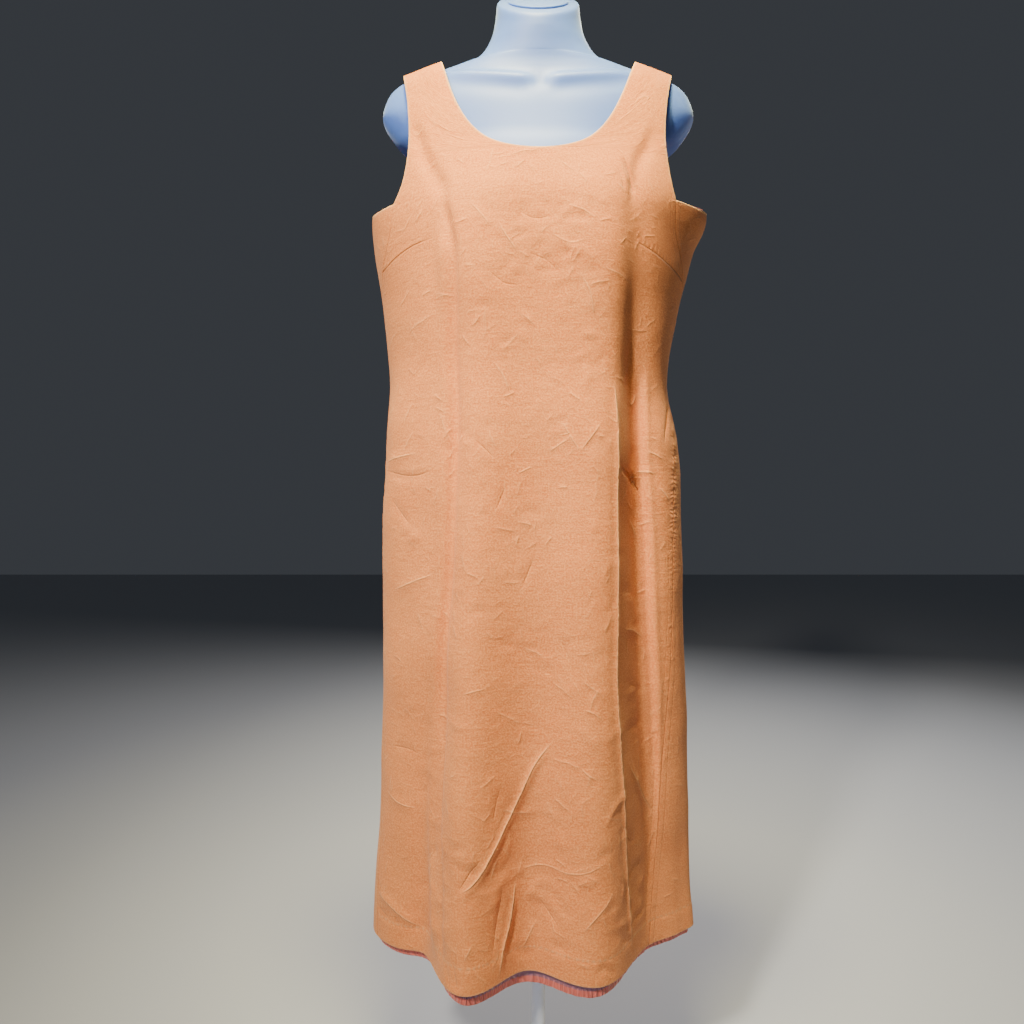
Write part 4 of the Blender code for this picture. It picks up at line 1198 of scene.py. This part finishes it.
class Value:
    """An output of a node, ready for arithmetic."""

    __add__ = __radd__ = arithmetic("ADD")
    __mul__ = __rmul__ = arithmetic("MULTIPLY")
    __sub__ = arithmetic("SUBTRACT")
    __rsub__ = arithmetic("SUBTRACT", turned=True)
    __truediv__ = arithmetic("DIVIDE")

    def __init__(self, tree, socket):
        self.tree = tree
        self.socket = socket


class Tree:
    """Adds nodes to one node tree and links them."""

    def __init__(self, tree):
        self.tree = tree

    def node(self, kind, inputs=None, **settings):
        node = self.tree.nodes.new(kind)
        for name, value in settings.items():
            setattr(node, name, value)
        for name, value in (inputs or {}).items():
            self.feed(node.inputs[name], value)
        return node

    def add(self, kind, inputs=None, output=0, **settings):
        """A new node's output."""
        return Value(self, self.node(kind, inputs, **settings).outputs[output])

    def feed(self, socket, value):
        if isinstance(value, Value):
            self.tree.links.new(value.socket, socket)
        else:
            socket.default_value = value

    def math(self, operation, *values):
        return self.add("ShaderNodeMath", dict(enumerate(values)), operation=operation)

    def shift(self, operation, vector, by):
        return self.add("ShaderNodeVectorMath", {0: vector, 1: by}, operation=operation)

    def parts(self, vector):
        """The X, Y and Z of a vector."""
        return [Value(self, socket) for socket in self.node("ShaderNodeSeparateXYZ", {0: vector}).outputs]

    def joined(self, *parts):
        return self.add("ShaderNodeCombineXYZ", dict(enumerate(parts)))

    def wave(self, value, length):
        return self.math("SINE", value * (2.0 * math.pi / length))

    def bell(self, value, width):
        """One at zero, falling to nothing over a few widths."""
        share = value / width
        return self.math("POWER", math.e, share * share * -1.0)

    def step(self, value, start, end):
        return self.add("ShaderNodeMapRange", {0: value, 1: start, 2: end}, interpolation_type="SMOOTHSTEP")

    def mix(self, share, first, second):
        node = self.node("ShaderNodeMix", data_type="RGBA")
        colours = [socket for socket in node.inputs if socket.type == "RGBA"]
        for socket, value in zip((node.inputs[0], *colours), (share, first, second)):
            self.feed(socket, value if isinstance(value, (Value, float)) else (*value, 1.0))
        return Value(self, next(socket for socket in node.outputs if socket.type == "RGBA"))

    def noise(self, vector, scale, detail=2.0, roughness=0.5):
        inputs = {"Vector": vector, "Scale": scale, "Detail": detail, "Roughness": roughness}
        return self.add("ShaderNodeTexNoise", inputs)

    def group(self, name, fill, outputs, given):
        """The outputs of a placed node group, which fill makes from its inputs the first time.

        An input that is linked is a vector, and one that is set is a number.
        """
        group = bpy.data.node_groups.get(name)
        if group is None:
            group = bpy.data.node_groups.new(name, "ShaderNodeTree")
            for label, value in given.items():
                kind = "NodeSocketVector" if isinstance(value, Value) else "NodeSocketFloat"
                group.interface.new_socket(name=label, in_out="INPUT", socket_type=kind)
            for label in outputs:
                group.interface.new_socket(name=label, in_out="OUTPUT", socket_type="NodeSocketFloat")
            inside = Tree(group)
            entry = group.nodes.new("NodeGroupInput").outputs
            made = fill(inside, *(Value(inside, entry[label]) for label in given))
            for socket, value in zip(group.nodes.new("NodeGroupOutput").inputs, made):
                inside.feed(socket, value)
        placed = self.node("ShaderNodeGroup", given, node_tree=group)
        return [Value(self, placed.outputs[label]) for label in outputs]


def fill_weave(tree, position, pitch):
    """A plain weave of uneven threads. Position is in metres along the cloth as cut."""
    across, up, _ = tree.parts(position)
    threads_across, threads_up = across / pitch, up / pitch
    weave = tree.wave(threads_across, 1.0) * tree.wave(threads_up, 1.0)
    weft_slub = tree.noise(tree.joined(across * 85.0, threads_up * 0.42, 0.0), 1.0, 2.0, 0.6)
    warp_slub = tree.noise(tree.joined(threads_across * 0.42, up * 85.0, 5.0), 1.0, 2.0, 0.6)
    slub = weft_slub * 0.6 + warp_slub * 0.4
    grain = (weave + 1.0) * 0.5
    tone = tree.step(slub, 0.30, 0.70) * 0.75 + grain * 0.25
    return tone, grain * 0.4 + slub * 0.6


def fill_creases(tree, position, amount):
    """Short, thin pressed creases at random places and angles, as a height and a share of painted highlight
    along their sharp middles. Position is in metres.
    """
    noise = {"Vector": position, "Scale": 40.0, "Detail": 1.0}
    bent = tree.add("ShaderNodeTexNoise", noise, output="Color")
    smooth = tree.shift("ADD", position, tree.shift("MULTIPLY", bent, (0.007, 0.007, 0.0)))
    height = light = None
    for scale, width, reach, patch in FINE_STROKES:
        moved = tree.shift("ADD", smooth, (scale * 0.13, scale * 0.07, 0.0))
        cells = tree.node("ShaderNodeTexVoronoi", {"Vector": moved, "Scale": scale}, voronoi_dimensions="2D")
        turn, chance, _ = tree.parts(Value(tree, cells.outputs["Color"]))
        x, y, _ = tree.parts(tree.shift("SUBTRACT", moved, Value(tree, cells.outputs["Position"])))
        angle = turn * math.pi
        cosine, sine = tree.math("COSINE", angle), tree.math("SINE", angle)
        run = x * cosine + y * sine
        beside = y * cosine - x * sine
        ends = 1.0 - tree.step(tree.math("ABSOLUTE", run), reach * 0.35, reach)
        mask = tree.step(tree.noise(moved, patch, 2.0, 0.6), 0.44, 0.60)
        share = ends * mask * tree.step(chance, 0.15, 0.9)
        sharp = tree.bell(beside, width) * share
        line = sharp * 0.45 + tree.bell(beside, width * 3.2) * share * 0.9
        height = line if height is None else height + line
        light = sharp if light is None else tree.math("MAXIMUM", light, sharp)
    return height * amount * FINE_CREASE_HEIGHT, light * amount


def fill_sewing(tree, sewn, lines, position, hem_depth):
    """Seams, hem stitches, darts and pressed lines, as a height in metres, a painted shade and a painted
    highlight.
    """
    seam, edge, up = tree.parts(sewn)
    rise, beside, puckers = tree.parts(lines)
    across = tree.parts(position)[0]
    allowance = tree.step(seam, 0.0075, 0.0095) * -0.00012
    gathered = tree.bell(up - 0.59, 0.075) * 0.9 + 0.12
    ladder = tree.wave(up + tree.noise(position, 55.0, 1.0) * 0.012, 0.0064) * gathered
    second = tree.bell(seam - 0.0085, 0.0009)
    seam_height = allowance + ladder * tree.bell(seam - 0.0040, 0.0042) * 0.00050 + second * -0.00025
    from_hem = up - hem_depth
    prick = tree.wave(across + tree.noise(position, 45.0, 1.0) * 0.012, 0.007) * 0.5 + 0.5
    dimple = tree.bell(from_hem, 0.0016) * (prick + 0.25)
    stroke = tree.bell(beside, 0.0010)
    above = tree.bell(beside - 0.0030, 0.0022) * 0.00035
    ripple = tree.wave(across, 0.0062) * tree.bell(beside + 0.0040, 0.0030) * 0.00030
    height = seam_height + dimple * -0.00030 + (stroke * rise + (above + ripple) * puckers)
    # Painted shade: the grooves of dart and seam, the seam's second stitched line and the hem's dimples
    # darken the colour
    dart_shade = tree.bell(beside, 0.0011) * puckers * 0.40
    seam_shade = tree.bell(seam, 0.0007) * 0.45 + second * 0.12
    shade = tree.math("MINIMUM", dart_shade + seam_shade + dimple * 0.10, 0.75)
    # Painted highlight: turned edges at neck, armholes and hem, raised pressed lines and the puckers above
    # the hem stitches lighten the colour
    edge_highlight = tree.math("MAXIMUM", tree.bell(edge, 0.0017), tree.bell(up, 0.0013) * 0.6)
    ridge_highlight = tree.math("MINIMUM", tree.math("MAXIMUM", rise, 0.0) * 420.0, 0.42) * stroke
    hem_pucker_highlight = tree.bell(from_hem - 0.0016, 0.0014) * prick * 0.45
    return height, shade, tree.math("MAXIMUM", edge_highlight, tree.math("MAXIMUM", ridge_highlight, hem_pucker_highlight))


# ---- Materials ----
def material_of(name, fill, *given):
    """The material of this name, which fill makes the first time on its tree and shader."""
    material = bpy.data.materials.get(name)
    if material is None:
        material = bpy.data.materials.new(name)
        material.use_nodes = True
        fill(Tree(material.node_tree), material.node_tree.nodes["Principled BSDF"], *given)
    return material


def dress_shader(tree, shader, colour, height, fixed):
    """Links a shader's colour and height in metres, and sets the values that don't vary."""
    tree.feed(shader.inputs["Base Color"], colour)
    for name, value in fixed.items():
        shader.inputs[name].default_value = value
    if height is not None:
        bump = tree.add("ShaderNodeBump", {"Strength": 1.0, "Distance": 1.0, "Height": height})
        tree.feed(shader.inputs["Normal"], bump)


def scaled(colour, share, lift=0.0):
    return tuple(min(1.0, channel * share + lift) for channel in colour)


def fill_cloth(tree, shader, look):
    """Linen-like plain weave in apricot, with its sewn and pressed lines, painted shade in their grooves and
    painted highlights on edges and raised lines
    """
    position = tree.add("ShaderNodeUVMap", uv_map="cloth")
    sewn = tree.add("ShaderNodeAttribute", output="Vector", attribute_name="sewn")
    lines = tree.add("ShaderNodeAttribute", output="Vector", attribute_name="line_map")
    tone, grain = tree.group("Woven Cloth", fill_weave, ("Tone", "Height"), {
        "Position": position, "Pitch": look.thread_pitch,
    })
    sewn_height, shade, edge = tree.group("Sewn Lines", fill_sewing, ("Height", "Shade", "Edge"), {
        "Sewn": sewn, "Lines": lines, "Position": position, "Hem Depth": look.hem_depth,
    })
    crease_height, line = tree.group("Fine Creases", fill_creases, ("Height", "Line"), {
        "Position": position, "Amount": look.crease_strength,
    })
    cloud = tree.step(tree.noise(position, 14.0, 3.0, 0.6), 0.3, 0.7)
    fleck = tree.step(tree.noise(position, 430.0, 3.0, 0.75), 0.42, 0.61)
    # The colour of the painted highlights
    light = scaled(look.cloth_pale, 1.25, 0.12)
    colour = tree.mix(tone * 0.34 + cloud * 0.10 + fleck * 0.56, look.cloth, look.cloth_pale)
    # Painted highlights on the fine creases' sharp lines, on turned edges, raised lines and hem puckers, then
    # painted shade in grooves and dimples
    colour = tree.mix(line * 0.18, colour, light)
    colour = tree.mix(edge * 0.85, colour, light)
    colour = tree.mix(shade, colour, scaled(look.cloth, 0.45))
    fuzz = tree.noise(position, 430.0, 3.0, 0.7) * 0.00040
    crinkle = tree.noise(tree.shift("MULTIPLY", position, (34.0, 170.0, 1.0)), 1.0, 3.0, 0.6) * CRINKLE
    dent = tree.noise(position, 62.0, 3.0, 0.55) * DENT
    height = grain * 0.00022 + fuzz + (crinkle + dent) + (sewn_height + crease_height)
    dress_shader(tree, shader, colour, height, {
        "Roughness": 0.86, "Specular IOR Level": 0.25, "Sheen Weight": 0.28, "Sheen Roughness": 0.45,
        "Sheen Tint": (1.0, 0.72, 0.50, 1.0),
    })


def fill_lining(tree, shader, look):
    """Fine coral lining, with painted shade where one layer hangs free above its narrow hem, and painted
    highlights on that hem's puckers
    """
    position = tree.add("ShaderNodeUVMap", uv_map="cloth")
    up = tree.parts(tree.add("ShaderNodeAttribute", output="Vector", attribute_name="sewn"))[2]
    hem = look.lining_hem_depth
    # Painted shade on the band above the narrow hem, where one layer hangs free below the dress
    hanging_shade = tree.step(up, hem - 0.0006, hem + 0.0008) * (1.0 - tree.step(up, 0.030, 0.060))
    tone = tree.step(tree.noise(position, 60.0, 3.0, 0.6), 0.25, 0.75)
    across = tree.parts(position)[0]
    tick = tree.wave(across + tree.noise(position, 70.0, 1.0) * 0.010, 0.0068)
    puckered = tick * (1.0 - tree.step(up, hem, hem + 0.0030))
    colour = tree.mix(tone, look.lining, scaled(look.lining, 1.25))
    colour = tree.mix(hanging_shade, colour, look.lining_painted_shade)
    # Painted highlight on the crests of the narrow hem's puckers
    colour = tree.mix(puckered * 0.30, colour, scaled(look.lining, 1.5, 0.08))
    height = tree.noise(position, 1400.0, 2.0, 0.6) * 0.00005 + puckered * 0.00090
    dress_shader(tree, shader, colour, height, {
        "Roughness": 0.48, "Sheen Weight": 0.15, "Sheen Tint": (1.0, 0.6, 0.55, 1.0),
    })


def fill_thread(tree, shader, colour):
    """Thread in the colour of what it sews"""
    tone = tree.noise(tree.add("ShaderNodeTexCoord", output="Object"), 300.0, 1.0)
    dress_shader(tree, shader, tree.mix(tone, colour, scaled(colour, 1.3)), None, {"Roughness": 0.6})


def fill_plastic(tree, shader, look):
    """Frosted plastic that scatters a little light under its skin"""
    position = tree.add("ShaderNodeTexCoord", output="Object")
    colour = tree.mix(tree.noise(position, 9.0, 2.0), look.plastic, scaled(look.plastic, 1.08))
    frost = tree.noise(position, 1600.0, 2.0, 0.6) * 0.00003
    dress_shader(tree, shader, colour, frost, {
        "Roughness": 0.52, "Sheen Weight": 0.45, "Sheen Roughness": 0.35,
        "Sheen Tint": (0.62, 0.76, 1.0, 1.0), "Subsurface Weight": 0.35,
        "Subsurface Radius": (0.8, 0.9, 1.0), "Subsurface Scale": 0.012,
    })


def fill_steel(tree, shader, look):
    """White powder coat on steel"""
    position = tree.add("ShaderNodeTexCoord", output="Object")
    colour = tree.mix(tree.noise(position, 30.0, 2.0), scaled(look.steel, 0.94), look.steel)
    grain = tree.noise(position, 900.0, 2.0, 0.5) * 0.00006
    dress_shader(tree, shader, colour, grain, {"Roughness": 0.42})


# ---- Operators ----
STITCHES = (
    # panel, piece, height above the hem (None: the dress's own), spacing, length, thickness
    ("dress_front", "hem_stitches_front", None, 0.0070, 0.0011, 0.00036),
    ("dress_back", "hem_stitches_back", None, 0.0070, 0.0011, 0.00036),
    ("lining_front", "lining_stitches_front", 0.0056, 0.0034, 0.0023, 0.00034),
    ("lining_back", "lining_stitches_back", 0.0056, 0.0034, 0.0023, 0.00034),
)
LIGHTS = (
    # name, place, height that it aims at, size, spread, share of the key light's power, colour
    ("key light", (-0.82, -1.56, 2.10), 0.84, 0.22, 56.0, 1.0, (1.0, 0.95, 0.84)),
    ("top light", (-0.05, -0.42, 2.35), 1.15, 0.30, 70.0, 1.25, (1.0, 0.88, 0.44)),
    ("low fill", (-0.60, -1.90, 0.25), 0.35, 0.80, 50.0, 0.15, (0.42, 0.56, 1.0)),
    ("back light", (0.6, 2.0, 2.5), 0.95, 1.0, 180.0, 9.0, (1.0, 0.97, 0.93)),
    ("back fill", (2.4, 1.4, 1.8), 0.95, 1.6, 180.0, 1.3, (0.93, 0.96, 1.0)),
)


class SHIFT_DRESS_OT_front(bpy.types.Operator):
    """Make the dress's front, with its darts, folds and hem"""

    bl_idname = "shift_dress.front"
    bl_label = "Dress Front"

    def execute(self, context):
        make_panel("dress_front", True, 78, 0.0047, context.scene.shift_dress_cloth)
        return {"FINISHED"}


class SHIFT_DRESS_OT_back(bpy.types.Operator):
    """Make the dress's back"""

    bl_idname = "shift_dress.back"
    bl_label = "Dress Back"

    def execute(self, context):
        make_panel("dress_back", False, 74, 0.0053, context.scene.shift_dress_cloth)
        return {"FINISHED"}


class SHIFT_DRESS_OT_lining(bpy.types.Operator):
    """Make the lining, front and back"""

    bl_idname = "shift_dress.lining"
    bl_label = "Lining"

    def execute(self, context):
        make_lining("lining_front", True, 52, 0.0085, context.scene.shift_dress_cloth)
        make_lining("lining_back", False, 48, 0.0095, context.scene.shift_dress_cloth)
        return {"FINISHED"}


class SHIFT_DRESS_OT_sewing(bpy.types.Operator):
    """Sew the hems of the dress and the lining"""

    bl_idname = "shift_dress.sewing"
    bl_label = "Sewing"

    def execute(self, context):
        look = context.scene.shift_dress_cloth
        threads = {"dress": ("apricot_cloth", look.cloth), "lining": ("coral_lining", look.lining)}
        for panel, name, up, spacing, length, thickness in STITCHES:
            slot_name, colour = threads[panel.split("_")[0]]
            obj, net, outer = PANELS[panel]
            run = stitch_run(net, outer, up or look.hem_depth, spacing, thickness * 0.10)
            mesh = stitches_mesh(name, *run, length, thickness)
            thread = material_of("Thread " + slot_name, fill_thread, tuple(colour))
            place(mesh, name, thread, slot_name)["sewn_on"] = obj.name
        return {"FINISHED"}


class SHIFT_DRESS_OT_form(bpy.types.Operator):
    """Make the dress form and the disc on its neck"""

    bl_idname = "shift_dress.form"
    bl_label = "Dress Form"

    def execute(self, context):
        plastic = material_of("Frosted Plastic", fill_plastic, context.scene.shift_dress_form)
        rings = collarbones(form_rings(185, 144))
        place(loft_mesh("form_skin", rings), "form_skin", plastic, "frosted_plastic", "form_torso")
        rim = rings[-1]
        middle = rim[:-1].mean(axis=0)
        tilt = FORM_SECTIONS[-1].tilt
        lift = np.array([0.0, -tilt, 1.0]) / math.hypot(1.0, tilt)
        disc = np.array([
            middle + (rim - middle) * DISC_SHARE * share + lift * (DISC_GAP + height)
            for share, height in (
                (0.985, 0.0), (1.0, 0.0004), (1.0, DISC_THICKNESS - 0.0007),
                (0.993, DISC_THICKNESS - 0.0002), (0.978, DISC_THICKNESS),
            )
        ])
        place(loft_mesh("neck_disc", disc), "neck_disc", plastic, "frosted_plastic", "form_neck_cap")
        return {"FINISHED"}


class SHIFT_DRESS_OT_stand(bpy.types.Operator):
    """Make the stand: base, collar, pole and flange"""

    bl_idname = "shift_dress.stand"
    bl_label = "Stand"

    def execute(self, context):
        steel = material_of("White Powder Coat", fill_steel, context.scene.shift_dress_form)
        top = FORM_SECTIONS[0].height - 0.0003
        profiles = {
            ("base_plate", "stand_base"): (
                (0.0, 0.012), *rounding(0.156, 0.008, 0.004, 90.0, 0.0),
                *rounding(0.1592, 0.0008, 0.0008, 0.0, -90.0, 3), (0.0, 0.0),
            ),
            ("base_collar", "stand_collar"): (
                (0.0093, 0.0447), *rounding(0.0180, 0.0430, 0.0020, 90.0, 0.0),
                (0.0200, 0.0123), (0.0093, 0.0123),
            ),
            ("pole_tube", "stand_pole"): (
                (0.0, top), *rounding(0.0082, top - 0.0008, 0.0008, 90.0, 0.0, 3),
                (0.0090, 0.0123), (0.0, 0.0123),
            ),
            ("flanged_sleeve", "stand_flange"): (
                (0.0093, top), *rounding(0.0443, top - 0.0007, 0.0007, 90.0, 0.0, 3),
                *rounding(0.0443, top - 0.0043, 0.0007, 0.0, -90.0, 3), (0.0190, top - 0.0050),
                (0.0170, top - 0.0062), (0.0160, top - 0.0090), (0.0160, top - 0.0500),
                (0.0093, top - 0.0500),
            ),
        }
        for (name, node), profile in profiles.items():
            place(turned_mesh(name, profile, 96), name, steel, "white_steel", node)
        return {"FINISHED"}


def stage(context, name, data, location, turn=(0.0, 0.0, 0.0)):
    """An object of the studio, which isn't part of the dress."""
    obj = bpy.data.objects.new(name, data)
    obj.location = location
    obj.rotation_euler = turn
    context.scene.collection.objects.link(obj)
    return obj


class SHIFT_DRESS_OT_stage(bpy.types.Operator):
    """Set the floor, the lights and the camera"""

    bl_idname = "shift_dress.stage"
    bl_label = "Studio"

    def execute(self, context):
        look = context.scene.shift_dress_studio
        mesh = bpy.data.meshes.new("floor")
        shape = bmesh.new()
        bmesh.ops.create_grid(shape, x_segments=1, y_segments=1, size=9.0)
        shape.to_mesh(mesh)
        shape.free()
        colour = (*look.floor, 1.0)
        mesh.materials.append(material_of("Floor", dress_shader, colour, None, {"Roughness": 0.8}))
        stage(context, "floor", mesh, (0.0, 0.0, 0.0))
        world = bpy.data.worlds.new("Studio Air")
        world.use_nodes = True
        air = world.node_tree.nodes["Background"]
        air.inputs["Color"].default_value = (*look.backdrop, 1.0)
        air.inputs["Strength"].default_value = 0.07
        context.scene.world = world
        for name, at, aim, size, spread, power, colour in LIGHTS:
            data = bpy.data.lights.new(name, "AREA")
            data.shape = "DISK"
            data.size = size
            data.spread = math.radians(spread)
            data.energy = look.key_power * power
            data.color = colour
            ahead = Vector((0.0, 0.0, aim)) - Vector(at)
            light = stage(context, name, data, at, ahead.to_track_quat("-Z", "Y").to_euler())
            light.visible_camera = False
        data = bpy.data.cameras.new("camera")
        data.lens = look.camera_lens
        data.sensor_width = 36.0
        data.clip_start = 0.02
        context.scene.camera = stage(context, "camera", data, look.camera_place, (math.pi / 2.0, 0.0, 0.0))
        return {"FINISHED"}


OPERATORS = (
    SHIFT_DRESS_OT_front,
    SHIFT_DRESS_OT_back,
    SHIFT_DRESS_OT_lining,
    SHIFT_DRESS_OT_sewing,
    SHIFT_DRESS_OT_form,
    SHIFT_DRESS_OT_stand,
    SHIFT_DRESS_OT_stage,
)


class SHIFT_DRESS_PT_panel(bpy.types.Panel):
    """Pieces of the dress"""

    bl_label = "Shift Dress"
    bl_space_type = "VIEW_3D"
    bl_region_type = "UI"
    bl_category = "Dress"

    def draw(self, context):
        layout = self.layout
        for operator in OPERATORS:
            layout.operator(operator.bl_idname)
        for settings in ("shift_dress_cloth", "shift_dress_form", "shift_dress_studio"):
            group = getattr(context.scene, settings)
            box = layout.box()
            for name in group.__annotations__:
                box.prop(group, name)


SETTINGS = {
    "shift_dress_cloth": ShiftDressCloth,
    "shift_dress_form": ShiftDressForm,
    "shift_dress_studio": ShiftDressStudio,
}
CLASSES = (*SETTINGS.values(), *OPERATORS, SHIFT_DRESS_PT_panel)


def register():
    for made in CLASSES:
        bpy.utils.register_class(made)
    for name, group in SETTINGS.items():
        setattr(bpy.types.Scene, name, bpy.props.PointerProperty(type=group))


def unregister():
    for name in reversed(SETTINGS):
        delattr(bpy.types.Scene, name)
    for made in reversed(CLASSES):
        bpy.utils.unregister_class(made)


def main():
    register()
    bpy.ops.shift_dress.form()
    bpy.ops.shift_dress.front()
    bpy.ops.shift_dress.back()
    bpy.ops.shift_dress.lining()
    bpy.ops.shift_dress.sewing()
    bpy.ops.shift_dress.stand()
    bpy.ops.shift_dress.stage()
    bpy.context.view_layer.update()


if __name__ == "__main__":
    main()
